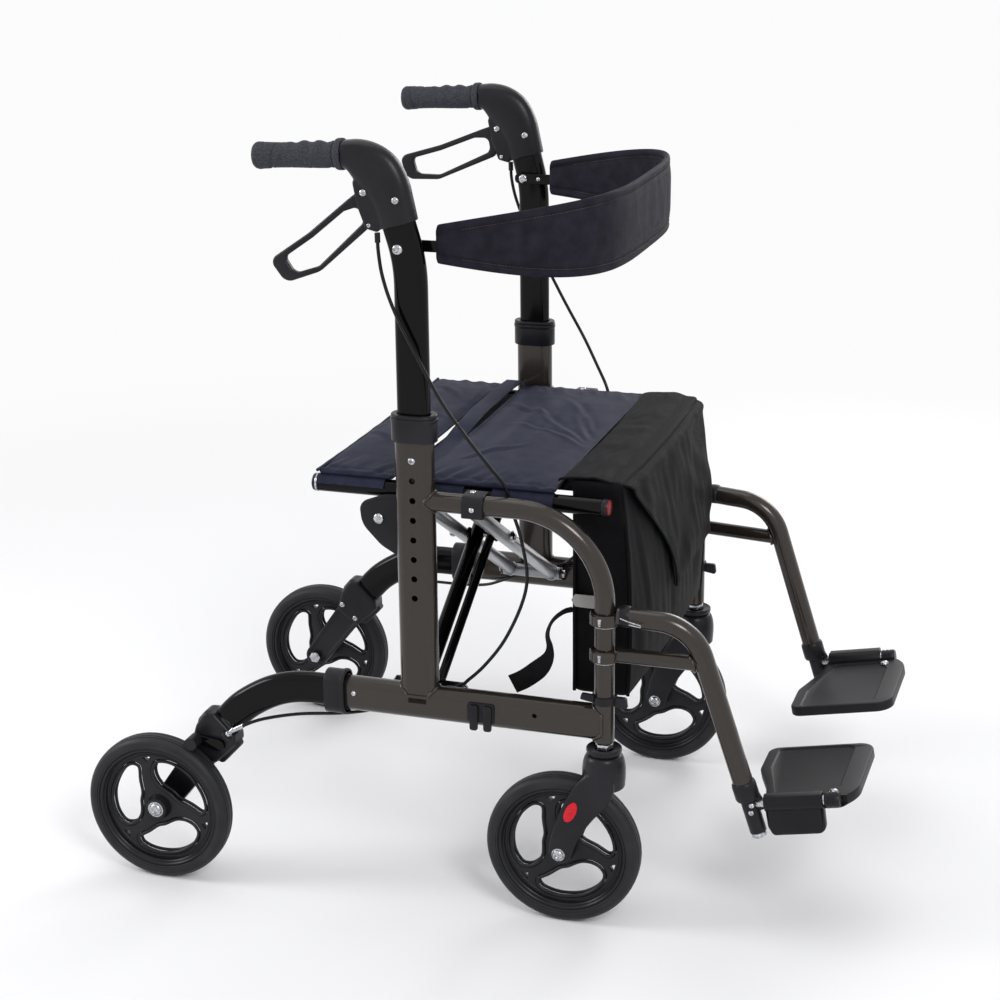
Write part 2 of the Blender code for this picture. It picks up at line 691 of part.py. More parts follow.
def rear_shank(side, s):
    """Clamp housing on the leg's end with the long shank that carries the axle."""
    y = s * LEG_SPLAY_Y
    low, top = (REAR_AXLE_X, WHEEL_R), (-0.276, 0.204)
    shank = plate("rear_shank_" + side, capsule(top, low, SHANK_WIDE / 2, 0.017), SHANK_THICK,
                  "Y", (0, y, 0))
    axis = Vector((top[0] - low[0], top[1] - low[1])).normalized()
    across = Vector((-axis.y, axis.x))
    def corner(u, v, r):
        p = Vector(top) + axis * u + across * v
        return (p.x, p.y, r)
    clamp = plate("clamp_" + side,
                  rounded([corner(-0.040, -0.024, 0.006), corner(0.006, -0.031, 0.007),
                           corner(0.014, -0.020, 0.003), corner(0.020, 0.019, 0.004),
                           corner(0.012, 0.031, 0.007), corner(-0.012, 0.030, 0.006),
                           corner(-0.040, 0.020, 0.006)]), CLAMP_THICK, "Y", (0, y, 0))
    stop = leg_end_cutter(side, s)
    axle = rod("axle_boss_" + side, (REAR_AXLE_X, y, WHEEL_R),
               (REAR_AXLE_X, s * (REAR_WHEEL_Y - HUB_WIDE / 2 - GAP), WHEEL_R), 0.011, 20)
    axle_bore = rod("axle_bore_" + side, (REAR_AXLE_X, y - 0.05, WHEEL_R),
                    (REAR_AXLE_X, y + 0.05, WHEEL_R), AXLE_R + GAP, 16)
    wheel_room = rod("wheel_room_" + side,
                     (REAR_AXLE_X, s * (REAR_WHEEL_Y - TYRE_WIDE / 2 - 0.0015), WHEEL_R),
                     (REAR_AXLE_X, s * (REAR_WHEEL_Y + 0.05), WHEEL_R), WHEEL_R + 0.004, 40)
    cut(join(shank, clamp), wheel_room)
    return cut(join(shank, axle), stop, axle_bore)


def leg_end_cutter(side, s):
    """The rear leg's own section, grown by the seating gap, as the clamp's socket."""
    leg = bpy.data.objects["rear_leg_" + side].copy()
    leg.data = leg.data.copy()
    leg.name = "leg_in_clamp_" + side
    PARTS.objects.link(leg)
    bm = bmesh.new()
    bm.from_mesh(leg.data)
    for vert in bm.verts:
        vert.co += vert.normal * GAP * 1.5
    bm.to_mesh(leg.data)
    bm.free()
    return leg


def rear_axle(side, s):
    """Axle bolt with its head outside the hub and its nut inside the shank."""
    y_out = s * (REAR_WHEEL_Y + HUB_WIDE / 2 + GAP)
    y_in = s * (LEG_SPLAY_Y - SHANK_THICK / 2 - GAP)
    bolt = rod("rear_axle_" + side, (REAR_AXLE_X, y_in - s * 0.006, WHEEL_R),
               (REAR_AXLE_X, y_out + s * 0.002, WHEEL_R), AXLE_R, 16)
    head = rod("axle_head_" + side, (REAR_AXLE_X, y_out, WHEEL_R),
               (REAR_AXLE_X, y_out + s * 0.004, WHEEL_R), 0.009, 6)
    nut = rod("axle_nut_" + side, (REAR_AXLE_X, y_in - s * 0.007, WHEEL_R),
              (REAR_AXLE_X, y_in, WHEEL_R), 0.009, 6)
    return join(bolt, head, nut)


def brake_shoe(side, s):
    """Shoe on a short arm that swings onto the tyre: on it at the parked side, free at the other."""
    clear = SHOE_PARKED if side == "right" else SHOE_FREE
    reach = WHEEL_R + SHOE_R + clear
    at = (REAR_AXLE_X + reach * cos(SHOE_TURN), WHEEL_R + reach * sin(SHOE_TURN))
    y = s * (LEG_SPLAY_Y + CLAMP_THICK / 2 + GAP + 0.0025)
    arm = plate("brake_shoe_" + side, capsule(SHOE_PIVOT, at, 0.008, 0.006), 0.005, "Y", (0, y, 0))
    shoe = rod("shoe_roll_" + side, (at[0], y - s * 0.0025, at[1]),
               (at[0], s * (REAR_WHEEL_Y + 0.008), at[1]), SHOE_R, 12)
    return join(arm, shoe)


def caster_stem(side, s):
    """Bearing cup and nut under the front post."""
    y = s * FRAME_Y
    profile = [(0.0072, 0.2515), (0.0165, 0.2515), (0.0175, 0.2495), (0.0175, 0.2435),
               (0.0150, 0.2415), (0.0072, 0.2415)]
    return turned("caster_bearing_" + side, profile[::-1], Matrix.Translation((CASTER_X, y, 0)),
                  20, True)


def caster_fork(side, s):
    """Domed fork: crown over the tyre, two tapered legs, stem up and axle across."""
    y = s * FRAME_Y
    top = 0.2410
    profile = [(0, top), (0.016, top), (0.0225, top - 0.006), (0.0265, top - 0.016),
               (0.0275, top - 0.030), (0.0265, top - 0.052), (0, top - 0.052)]
    crown = turned("caster_fork_" + side, profile, Matrix.Translation((CASTER_X, y, 0)), 16)
    axle = (CASTER_X - CASTER_TRAIL, WHEEL_R)
    for tag, shift in (("left", 1), ("right", -1)):
        leg_y = y + shift * 0.0225
        leg = plate("fork_leg_%s_%s" % (tag, side),
                    capsule((CASTER_X + 0.002, top - 0.034), axle, 0.0245, 0.013), 0.007, "Y",
                    (0, leg_y, 0))
        join(crown, leg)
    room = rod("fork_room_" + side, (axle[0], y - TYRE_WIDE / 2 - 0.003, WHEEL_R),
               (axle[0], y + TYRE_WIDE / 2 + 0.003, WHEEL_R), WHEEL_R + 0.005, 32)
    cut(crown, room)
    stem = rod("fork_stem_" + side, (CASTER_X, y, top - 0.004), (CASTER_X, y, 0.290), 0.0068, 16)
    bolt = rod("fork_bolt_" + side, (axle[0], y - 0.031, WHEEL_R), (axle[0], y + 0.031, WHEEL_R),
               AXLE_R, 16)
    return join(crown, stem, bolt)


def hanger(side, s):
    """Swing-away footrest hanger on two rings round the front post."""
    top = [(HANGER_START, HANGER_TOP_Z), (HANGER_KNEE, HANGER_TOP_Z - 0.006)]
    drop = HANGER_TOP_Z - 0.006 - HANGER_FOOT_Z
    foot = (HANGER_KNEE + drop * np.tan(HANGER_LEAN), HANGER_FOOT_Z)
    lay = hanger_lay(s)
    path = bend([lay(u, z) for u, z in (*top, foot)], HANGER_BEND_R, 6)
    frame = as_mesh(tube("hanger_" + side, path, TUBE_R, 4))
    slope = HANGER_LEAN
    bar_end = HANGER_KNEE + (HANGER_TOP_Z - 0.006 - HANGER_BAR_Z) * np.tan(slope)
    bar = rod("hanger_bar_" + side, lay(HANGER_START, HANGER_BAR_Z), lay(bar_end, HANGER_BAR_Z - 0.003),
              0.0095, 14)
    join(frame, bar)
    for tag, z in (("top", HANGER_TOP_Z - 0.004), ("bottom", HANGER_BAR_Z)):
        at = (CASTER_X, s * FRAME_Y, z)
        up = Vector((0, 0, RING_TALL / 2))
        join(frame, rod("ring_%s_%s" % (tag, side), Vector(at) - up, Vector(at) + up, RING_R, 20))
    post = rod("ring_bore_" + side, (CASTER_X, s * FRAME_Y, 0.3), (CASTER_X, s * FRAME_Y, 0.45),
               TUBE_R + RUN + 0.0003, 20)
    return cut(frame, post)


def hanger_lay(s):
    """Map of (distance from the front post, height) onto the toed-in hanger plane."""
    def lay(u, z):
        return Vector((CASTER_X + u * cos(HANGER_TOE), s * (FRAME_Y - u * sin(HANGER_TOE)), z))
    return lay


def hanger_leg(z):
    """Distance of the hanger's leg from the front post at a height."""
    return HANGER_KNEE + (HANGER_TOP_Z - 0.006 - z) * np.tan(HANGER_LEAN)


def foot_bracket(side, s):
    """Tube at the hanger's foot with the pitched rod that the footplate turns on."""
    lay = hanger_lay(s)
    top = lay(hanger_leg(HANGER_FOOT_Z), HANGER_FOOT_Z)
    low = lay(hanger_leg(FOOT_TUBE_Z), FOOT_TUBE_Z)
    along = (low - top).normalized()
    leg = rod("foot_bracket_" + side, top + along * GAP, low, FOOT_TUBE_R, 16)
    ferrule = rod("ferrule_" + side, top + along * GAP, top + along * 0.021, 0.0152, 20)
    pin = rod("foot_rod_" + side, lay(hanger_leg(FOOT_ROD_Z), FOOT_ROD_Z), foot_point(s, FOOT_ROD_LONG),
              FOOT_ROD_R, 16)
    return join(leg, ferrule, pin)


def foot_point(s, u, v=0.0, w=0.0):
    """Point in the footplate's own frame: u along its rod, v inward, w square to the plate."""
    start = hanger_lay(s)(hanger_leg(FOOT_ROD_Z), FOOT_ROD_Z)
    return start + Vector((u * cos(FOOT_PITCH) - w * sin(FOOT_PITCH), -s * v,
                           u * sin(FOOT_PITCH) + w * cos(FOOT_PITCH)))


def footplate(side, s):
    """Moulded footplate: sloped-edged tread, outer flange and the barrel on the rod."""
    start = foot_point(s, 0)
    inner = abs(start.y) - PLATE_INNER_Y
    outline = rounded([(0.016, 0.020, 0.002), (PLATE_REAR + 0.018, 0.052, 0.012),
                       (PLATE_REAR, 0.104, 0.030), (PLATE_REAR, inner, 0.014),
                       (PLATE_REAR + PLATE_LONG, inner, 0.022),
                       (PLATE_REAR + PLATE_LONG, 0.030, 0.050), (0.112, 0.002, 0.012),
                       (0.016, 0.002, 0.002)])
    tread = plate("footplate_" + side, outline, PLATE_THICK, "Z", (0, 0, -PLATE_THICK / 2))
    pan = plate("tread_pan_" + side, rounded([
        (0.030, 0.034, 0.006), (PLATE_REAR + 0.016, 0.104, 0.020),
        (PLATE_REAR + 0.016, inner - 0.010, 0.008),
        (PLATE_REAR + PLATE_LONG - 0.018, inner - 0.010, 0.012),
        (PLATE_REAR + PLATE_LONG - 0.018, 0.040, 0.020)]), 0.004, "Z", (0, 0, 0))
    u0, u1 = FOOT_BARREL_X
    flange = plate("flange_" + side, rounded([
        (u0, 0.002, 0), (u0 + 0.002, -0.012, 0.004), (u0 + 0.020, -FLANGE_DROP, 0.006),
        (u1 - 0.002, -FLANGE_DROP, 0.010), (u1, 0.002, 0)]), FLANGE_THICK, "Y", (0, 0, 0))
    barrel = rod("barrel_" + side, (u0, 0, 0), (u1, 0, 0), FOOT_BARREL_R, 20)
    bore = rod("barrel_bore_" + side, (u0 - 0.01, 0, 0), (u1 + 0.01, 0, 0), FOOT_ROD_R + RUN, 16)
    clear = box("rod_clear_" + side, (u1, -0.011, -0.011), (u1 + 0.030, 0.0115, 0.011))
    cut(tread, pan, clear)
    cut(join(tread, flange, barrel), bore)
    lay = Matrix.Translation(start) @ Matrix.Rotation(-FOOT_PITCH, 4, "Y")
    if s > 0:
        lay = lay @ Matrix.Scale(-1, 4, (0, 1, 0))
    guides = [m.object for m in tread.modifiers]
    bpy.context.view_layer.update()
    solid = as_mesh(tread)
    for guide in guides:
        bpy.data.objects.remove(guide, do_unlink=True)
    solid.data.transform(lay)
    if s > 0:
        solid.data.flip_normals()
    return solid


def cross_arm(name, s, xs, radii):
    """One leaf of the scissor: two tubes from a side frame's pin up to the other side's rail."""
    low = Vector((0, s * BRACE_Y, BRACE_Z))
    high = Vector((0, -s * BRACE_Y, SEAT_RAIL_Z))
    hub = rod(name, (ARM_SLEEVE_X[0], low.y, low.z), (ARM_SLEEVE_X[1], low.y, low.z),
              ARM_SLEEVE_R, 16)
    for k, (x, r) in enumerate(zip(xs, radii)):
        across = Vector((x, 0, 0))
        join(hub, rod("%s_tube_%d" % (name, k), low + across, high + across, r, 14))
    pin_bore = rod(name + "_pin_bore", (-0.06, low.y, low.z), (0.07, low.y, low.z),
                   BRACE_PIN_R + RUN, 12)
    rail_bore = rod(name + "_rail_seat", (-0.06, high.y, high.z), (0.07, high.y, high.z),
                    SEAT_RAIL_R + GAP, 20)
    middle = (low + high) / 2
    bolt_bore = rod(name + "_bolt_bore", (-0.06, 0, middle.z), (0.07, 0, middle.z),
                    BRACE_PIN_R + RUN, 12)
    return cut(hub, pin_bore, rail_bore, bolt_bore)


def cross_bolt():
    """Bolt through both leaves at the middle of the scissor."""
    z = (BRACE_Z + SEAT_RAIL_Z) / 2
    rear, front = OUTER_ARM_X[0] - ARM_R - 0.001, OUTER_ARM_X[1] + ARM_R + 0.001
    bolt = rod("cross_bolt", (rear - 0.006, 0, z), (front + 0.006, 0, z), BRACE_PIN_R, 12)
    for tag, x0, x1 in (("head", front, front + 0.005), ("nut", rear - 0.005, rear)):
        join(bolt, rod("cross_" + tag, (x0, 0, z), (x1, 0, z), 0.0075, 6))
    return bolt


def seat_rail(side, s):
    """Black tube under the seat's edge, with a cap at its rear end and a shaft in front."""
    y = s * BRACE_Y
    x0, x1 = SEAT_RAIL_X
    profile = [(0, x1), (0.007, x1), (0.010, x1 - 0.003), (0.010, x1 - 0.009),
               (SEAT_RAIL_R, x1 - 0.010), (SEAT_RAIL_R, x0 + 0.003), (0.009, x0), (0, x0)]
    lay = Matrix.Translation((0, y, SEAT_RAIL_Z)) @ Matrix.Rotation(radians(90), 4, "Y")
    return turned("seat_rail_" + side, profile, lay, 16)


def rail_clip(side, s):
    """Plastic cradle over the upper side rail that the seat rail drops into."""
    x0, x1 = 0.063, 0.090
    outer = s * (FRAME_Y + TUBE_R + 0.003)
    inner = s * (BRACE_Y - SEAT_RAIL_R - 0.0035)
    top = UPPER_Z + TUBE_R + 0.003
    low_y, high_y = min(outer, inner), max(outer, inner)
    clip = box("rail_clip_" + side, (x0, low_y, UPPER_Z - 0.014), (x1, high_y, top), 0.002)
    ring = rod("clip_ring_" + side, (x0 - 0.01, s * FRAME_Y, UPPER_Z),
               (x1 + 0.01, s * FRAME_Y, UPPER_Z), TUBE_R + GAP, 24)
    cradle = rod("clip_cradle_" + side, (x0 - 0.01, s * BRACE_Y, SEAT_RAIL_Z),
                 (x1 + 0.01, s * BRACE_Y, SEAT_RAIL_Z), SEAT_RAIL_R + GAP, 24)
    a, b = s * (BRACE_Y + SEAT_RAIL_R + GAP), s * (BRACE_Y - 0.02)
    mouth = box("clip_mouth_" + side, (x0 - 0.01, min(a, b), SEAT_RAIL_Z),
                (x1 + 0.01, max(a, b), top + 0.01))
    return cut(clip, ring, cradle, mouth)


def pad(name, xs, crown):
    """Seat panel: crowned on top, its ends drawn in between the corners, flat on the rails."""
    x0, x1 = xs
    z0 = SEAT_RAIL_Z + SEAT_RAIL_R + GAP
    bm = bmesh.new()
    bmesh.ops.create_grid(bm, x_segments=6, y_segments=12, size=1)
    flat = list(bm.faces)
    grown = bmesh.ops.extrude_face_region(bm, geom=flat)
    top = [g for g in grown["geom"] if isinstance(g, bmesh.types.BMVert)]
    rim_z = 0.55
    for vert in bm.verts:
        u, v = vert.co.x, vert.co.y
        raised = vert in top
        draw = 0.006 * (1 - v ** 2)
        half = (x1 - x0) / 2 - draw * abs(u) ** 3
        x = (x0 + x1) / 2 + u * half
        y = v * (PAD_HALF - 0.0015 * (1 - u ** 2))
        edge = max(abs(u), abs(v)) > 0.999
        z = z0
        if raised:
            bulge = (1 - u ** 4) * (1 - v ** 6)
            z = z0 + PAD_THICK * (rim_z if edge else 0.85) + crown * bulge
        vert.co = (x, y, z)
    return mesh_object(name, bm)


def bag_front(v, w):
    """Front of the bag at v across and w up, each from -1 to 1."""
    x0, x1 = BAG_X
    fullness = 0.74 + 0.26 * cos(0.9 * (w + 0.35))
    return x0 + (x1 - x0) * fullness + 0.006 * (1 - v ** 2)


def bag_height(w):
    return (BAG_Z[0] + BAG_Z[1]) / 2 + w * (BAG_Z[1] - BAG_Z[0]) / 2


def bag():
    """Plain bag held at its top between the seat rails: narrow above, full below."""
    bm = bmesh.new()
    bmesh.ops.create_cube(bm, size=2)
    bmesh.ops.subdivide_edges(bm, edges=list(bm.edges), cuts=5, use_grid_fill=True)
    for vert in bm.verts:
        u, v, w = vert.co
        x = BAG_X[0] + (bag_front(v, w) - BAG_X[0]) * (1 + u) / 2
        half = BRACE_Y - SEAT_RAIL_R - GAP if w > 0.6 else BAG_HALF
        y = v * (half - 0.006 * (1 - u ** 2) * (1 - w ** 2))
        vert.co = (x, y, bag_height(w))
    return mesh_object("bag", bm)


def bag_flap():
    """Flap over the bag's top and down its front."""
    skin = FLAP_GAP + FLAP_THICK
    rings = []
    for v in np.linspace(-1, 1, 7):
        line = [(BAG_X[0] + 0.004, BAG_Z[1] + FLAP_GAP)]
        outer = [(BAG_X[0] + 0.004, BAG_Z[1] + skin)]
        for w in (1, 2 / 3, 1 / 3, 0, -1 / 3):
            x, z = bag_front(v, w), bag_height(w)
            line.append((x + FLAP_GAP, z + FLAP_GAP * (w == 1)))
            outer.append((x + skin * (0.6 if w == 1 else 1), z + skin * (w == 1)))
        rings.append([(x, v * (BAG_HALF - 0.001), z) for x, z in line + outer[::-1]])
    return loft("bag_flap", rings)


def strap_station(t):
    """Middle of the back strap at t from 0 (right end) to 1 (left end), and its run there."""
    y_end = STRAP_BAR_Y - STRAP_BAR_THICK / 2 - GAP - STRAP_THICK / 2
    a = pi * t
    power = 0.52
    c = abs(cos(a)) ** power * (1 if cos(a) > 0 else -1)
    return Vector((STRAP_START_X + STRAP_REACH * sin(a) ** (power * 1.25), -y_end * c, 0))


def back_strap():
    """Padded band that runs forward from both handle tubes and is deeper in the middle."""
    pivot_z = STRAP_PIVOT[1]
    count = 24
    rings = []
    for k in range(count + 1):
        t = k / count
        here = strap_station(t)
        ahead = strap_station(min(1, t + 0.01)) - strap_station(max(0, t - 0.01))
        side = Vector((ahead.y, -ahead.x, 0)).normalized()
        deep = sin(pi * t) ** 2
        tall = STRAP_END_TALL + (STRAP_MID_TALL - STRAP_END_TALL) * deep
        middle = pivot_z + 0.003 - 0.008 * deep
        rings.append([here + side * STRAP_THICK / 2 * a + Vector((0, 0, middle + tall / 2 * b))
                      for a, b in ((-1, -0.92), (-0.5, -1), (0.5, -1), (1, -0.92), (1, 0.92),
                                   (0.5, 1), (-0.5, 1), (-1, 0.92))])
    return loft("back_strap", rings)


def strap_arm(side, s):
    """Flat bar from the handle tube's bolt to the strap's end."""
    x, z = STRAP_PIVOT
    y = s * STRAP_BAR_Y
    bar = plate("strap_arm_" + side,
                rounded([(x - 0.012, z - STRAP_BAR_TALL / 2, 0.006),
                         (x + 0.072, z - STRAP_BAR_TALL / 2, 0.003),
                         (x + 0.072, z + STRAP_BAR_TALL / 2, 0.003),
                         (x - 0.012, z + STRAP_BAR_TALL / 2, 0.006)]),
                STRAP_BAR_THICK, "Y", (0, y, 0))
    nearest = handle_y(z - STRAP_BOSS_R) - HANDLE_WIDE / 2 - GAP / 2
    boss = rod("strap_boss_" + side, (x, s * nearest, z),
               (x, s * (STRAP_BAR_Y - STRAP_BAR_THICK / 2), z), STRAP_BOSS_R, 16)
    return join(bar, boss)


RIGHT_CABLE = [(-0.037, 0.2615, 0.874), (-0.036, 0.2620, 0.850), (-0.030, 0.2650, 0.820),
               (-0.016, 0.2680, 0.783), (0.009, 0.2690, 0.734), (0.040, 0.2680, 0.677),
               (0.070, 0.2600, 0.630), (0.094, 0.2470, 0.592), (0.108, 0.2380, 0.570),
               (0.114, 0.2354, 0.553), (0.119, 0.2354, 0.533), (0.128, 0.2320, 0.500),
               (0.134, 0.2260, 0.449), (0.126, 0.2240, 0.409), (0.104, 0.2255, 0.360),
               (0.079, 0.2300, 0.325), (0.058, 0.2345, 0.304), (0.047, 0.2354, 0.296),
               (0.006, 0.2354, 0.281), (-0.030, 0.2354, 0.268), (-0.050, 0.2356, 0.259),
               (-0.075, 0.2400, 0.2490), (-0.113, 0.2470, 0.2430),
               (-0.166, 0.2560, 0.2390), (-0.210, 0.2690, 0.2320), (-0.236, 0.2755, 0.2220),
               (-0.252, 0.2765, 0.2130)]


def brake_cable(side, s):
    """Brake cable from the lever housing, inside the frame, to the clamp housing."""
    path = smooth_path([(x, s * y, z) for x, y, z in RIGHT_CABLE], 0.040)
    return tube("brake_cable_" + side, path, CABLE_R, 1)


def side_pieces(side, s):
    """Every piece of one side, grouped by the body that carries it."""
    leg = rear_leg(side, s)
    return {
        "frame": [main_post(side, s), lower_rail(side, s), front_frame(side, s),
                  post_collar(side, s), rail_clip(side, s), leg, rear_shank(side, s),
                  rear_axle(side, s), caster_stem(side, s), brake_cable(side, s)],
        "shoe": [brake_shoe(side, s)],
        "rear_wheel": [wheel("rear_wheel_" + side, REAR_AXLE_X, s * REAR_WHEEL_Y),
                       tyre("rear_tyre_" + side, REAR_AXLE_X, s * REAR_WHEEL_Y)],
        "caster": [caster_fork(side, s)],
        "caster_wheel": [wheel("caster_wheel_" + side, CASTER_X - CASTER_TRAIL, s * FRAME_Y),
                         tyre("caster_tyre_" + side, CASTER_X - CASTER_TRAIL, s * FRAME_Y)],
        "handle": [handle_tube(side, s), handle_housing(side, s), grip(side, s)],
        "lever": [brake_lever(side, s)],
        "hanger": [hanger(side, s), foot_bracket(side, s)],
        "footplate": [footplate(side, s)],
    }


def carry(name, point, pieces):
    """Put pieces under an empty on their joint's axis, without moving them."""
    empty = bpy.data.objects.new(name, None)
    PARTS.objects.link(empty)
    empty.parent = WHOLE
    empty.location = point
    for piece in pieces:
        piece.parent = empty
        piece.matrix_parent_inverse = Matrix.Translation(-Vector(point))
    return empty


def material(obj, look):
    colour, roughness, metallic = look
    finish = bpy.data.materials.new(obj.name + "_finish")
    finish.use_nodes = True
    shader = finish.node_tree.nodes["Principled BSDF"]
    shader.inputs["Base Color"].default_value = colour
    shader.inputs["Roughness"].default_value = roughness
    shader.inputs["Metallic"].default_value = metallic
    finish.diffuse_color = colour
    obj.data.materials.clear()
    obj.data.materials.append(finish)


LOOKS = (("post_collar", BLACK_PLASTIC), ("post", BRONZE), ("lower_rail", BRONZE),
         ("front_frame", BRONZE), ("hanger", BRONZE), ("rear_leg", BLACK_PAINT),
         ("handle_tube", BLACK_PAINT), ("seat_rail", BLACK_PAINT), ("cross_arm_inner", BLACK_PAINT),
         ("cross_arm_outer", STEEL), ("cross_bolt", STEEL), ("rear_axle", STEEL),
         ("caster_bearing", STEEL), ("grip", RUBBER), ("rear_tyre", RUBBER),
         ("caster_tyre", RUBBER), ("seat_pad", SEAT_CLOTH), ("bag", BLACK_CLOTH),
         ("back_strap", BLACK_CLOTH), ("brake_cable", RUBBER), ("strap_arm", BLACK_PAINT))

foot_reach = foot_point(1, PLATE_REAR + PLATE_LONG, 0, -PLATE_THICK).x
rear_reach = REAR_AXLE_X - WHEEL_R
WHOLE = bpy.data.objects.new("whole", None)
PARTS.objects.link(WHOLE)
WHOLE.location = (-(foot_reach + rear_reach) / 2, 0, 0)

for side, s in (("right", -1), ("left", 1)):
    pieces = side_pieces(side, s)
    lever_x, lever_z = LEVER_PIVOT
    axes = {
        "frame": (0, s * BRACE_Y, BRACE_Z),
        "shoe": (SHOE_PIVOT[0], s * LEG_SPLAY_Y, SHOE_PIVOT[1]),
        "rear_wheel": (REAR_AXLE_X, s * REAR_WHEEL_Y, WHEEL_R),
        "caster": (CASTER_X, s * FRAME_Y, WHEEL_R),
        "caster_wheel": (CASTER_X - CASTER_TRAIL, s * FRAME_Y, WHEEL_R),
        "handle": (0, s * FRAME_Y, POST_TOP),
        "lever": (lever_x, s * HANDLE_Y, lever_z),
        "hanger": (CASTER_X, s * FRAME_Y, HANGER_BAR_Z),
        "footplate": tuple(foot_point(s, 0)),
    }
    for group, members in pieces.items():
        carry("%s_%s_body" % (group, side), axes[group], members)

inner_arm = cross_arm("cross_arm_inner", -1, INNER_ARM_X, (ARM_R, STAY_R))
outer_arm = cross_arm("cross_arm_outer", 1, OUTER_ARM_X, (ARM_R - 0.001, ARM_R))
carry("inner_arm_body", (0, -BRACE_Y, BRACE_Z), [inner_arm, seat_rail("left", 1)])
carry("outer_arm_body", (0, 0, (BRACE_Z + SEAT_RAIL_Z) / 2),
      [outer_arm, cross_bolt(), seat_rail("right", -1), pad("seat_pad_rear", REAR_PAD_X, PAD_CROWN),
       pad("seat_pad_front", FRONT_PAD_X, PAD_CROWN), bag(), bag_flap()])
carry("strap_right_body", (STRAP_PIVOT[0], -STRAP_BAR_Y, STRAP_PIVOT[1]),
      [back_strap(), strap_arm("right", -1)])
carry("strap_left_body", (STRAP_PIVOT[0], STRAP_BAR_Y, STRAP_PIVOT[1]), [strap_arm("left", 1)])

for obj in list(PARTS.objects):
    if obj.type in {"MESH", "CURVE"}:
        look = next((value for key, value in LOOKS if obj.name.startswith(key)), BLACK_PLASTIC)
        material(obj, look)
for obj in CUTTERS.objects:
    obj.parent = WHOLE
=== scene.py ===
"""Looks of the rollator: fine surfaces, finishes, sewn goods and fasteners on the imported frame.

Metres, +Z up, +X the way it rolls. Shapes are drawn from the main post's axis, as in the
part's source, and place() then moves them to the row's own origin.
"""
import bmesh
import bpy
import json
import numpy as np
from math import acos, atan2, cos, exp, pi, radians, sin, sqrt, tan
from mathutils import Matrix, Vector, noise

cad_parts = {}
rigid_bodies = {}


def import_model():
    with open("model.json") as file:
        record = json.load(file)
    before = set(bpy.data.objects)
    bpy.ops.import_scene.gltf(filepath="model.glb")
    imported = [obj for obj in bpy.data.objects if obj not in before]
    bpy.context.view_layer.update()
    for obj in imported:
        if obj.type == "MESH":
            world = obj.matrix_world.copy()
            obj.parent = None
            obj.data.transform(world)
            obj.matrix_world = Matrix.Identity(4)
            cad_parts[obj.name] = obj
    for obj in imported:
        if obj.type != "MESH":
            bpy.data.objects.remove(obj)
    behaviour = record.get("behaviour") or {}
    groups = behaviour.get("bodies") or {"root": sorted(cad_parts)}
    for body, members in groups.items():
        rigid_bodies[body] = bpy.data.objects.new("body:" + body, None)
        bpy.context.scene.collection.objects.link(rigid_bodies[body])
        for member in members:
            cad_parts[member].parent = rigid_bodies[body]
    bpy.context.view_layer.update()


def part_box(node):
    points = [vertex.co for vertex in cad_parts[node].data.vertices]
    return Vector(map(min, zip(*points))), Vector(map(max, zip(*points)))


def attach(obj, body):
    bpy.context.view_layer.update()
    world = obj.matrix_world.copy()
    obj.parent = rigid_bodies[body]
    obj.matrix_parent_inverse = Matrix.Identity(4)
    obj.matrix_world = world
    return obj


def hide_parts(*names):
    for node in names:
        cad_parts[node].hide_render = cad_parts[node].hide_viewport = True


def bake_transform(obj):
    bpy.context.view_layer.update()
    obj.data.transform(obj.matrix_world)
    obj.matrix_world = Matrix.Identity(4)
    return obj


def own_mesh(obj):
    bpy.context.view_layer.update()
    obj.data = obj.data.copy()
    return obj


for old in list(bpy.data.objects):
    bpy.data.objects.remove(old, do_unlink=True)
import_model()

# Sizes shared with the part's source
GAP = 0.0003
RUN = 0.0004
WHEEL_R = 0.1
TYRE_WIDE = 0.03
REAR_AXLE_X = -0.354
REAR_WHEEL_Y = 0.29
CASTER_X = 0.24
CASTER_TRAIL = 0.052
FRAME_Y = 0.251
TUBE_R = 0.0127
POST_LONG = 0.05
POST_WIDE = 0.026
POST_TOP = 0.648
POST_WALL = 0.0022
HOLE_PITCH = 0.0254
HOLE_TOP_Z = 0.596
HOLE_COUNT = 8
RAIL_Z = 0.2765
RAIL_HIGH = 0.046
RAIL_WIDE = 0.026
RAIL_REAR_X = -0.098
SLEEVE_LONG = 0.028
SLEEVE_HIGH = 0.059
SLEEVE_WIDE = 0.034
UPPER_Z = 0.543
UPPER_BEND_R = 0.11
FRONT_POST_Z = 0.252
HANDLE_LONG = 0.042
HANDLE_WIDE = 0.02
HANDLE_FOOT_Z = 0.56
HANDLE_STRAIGHT_Z = 0.81
HANDLE_Y = 0.256
HANDLE_LEAN = radians(15)
HANDLE_BEND_Z = 0.815
HANDLE_BEND_R = 0.2
HANDLE_TOP_Z = 0.884
COLLAR_TALL = 0.034
COLLAR_OVER = 0.029
GRIP_R = 0.015
GRIP_LONG = 0.114
GRIP_TILT = radians(3)
LEVER_THICK = 0.01
LEVER_PIVOT = (-0.051, 0.922)
PARK_ANGLE = radians(18)
CABLE_R = 0.0022
LEG_LONG = 0.042
LEG_WIDE = 0.02
LEG_SPLAY_Y = 0.2565
BRACE_Y = 0.222
BRACE_Z = 0.285
SEAT_RAIL_Z = 0.545
SEAT_RAIL_R = 0.011
SEAT_RAIL_X = (-0.145, 0.239)
ARM_SLEEVE_X = (-0.04, 0.046)
INNER_ARM_X = (-0.006, 0.014)
OUTER_ARM_X = (-0.028, 0.033)
STRAP_PIVOT = (-0.011, 0.856)
STRAP_BAR_Y = 0.2365
HANGER_TOP_Z = 0.418
HANGER_BAR_Z = 0.367
HANGER_KNEE = 0.108
HANGER_BEND_R = 0.062
HANGER_LEAN = radians(18)
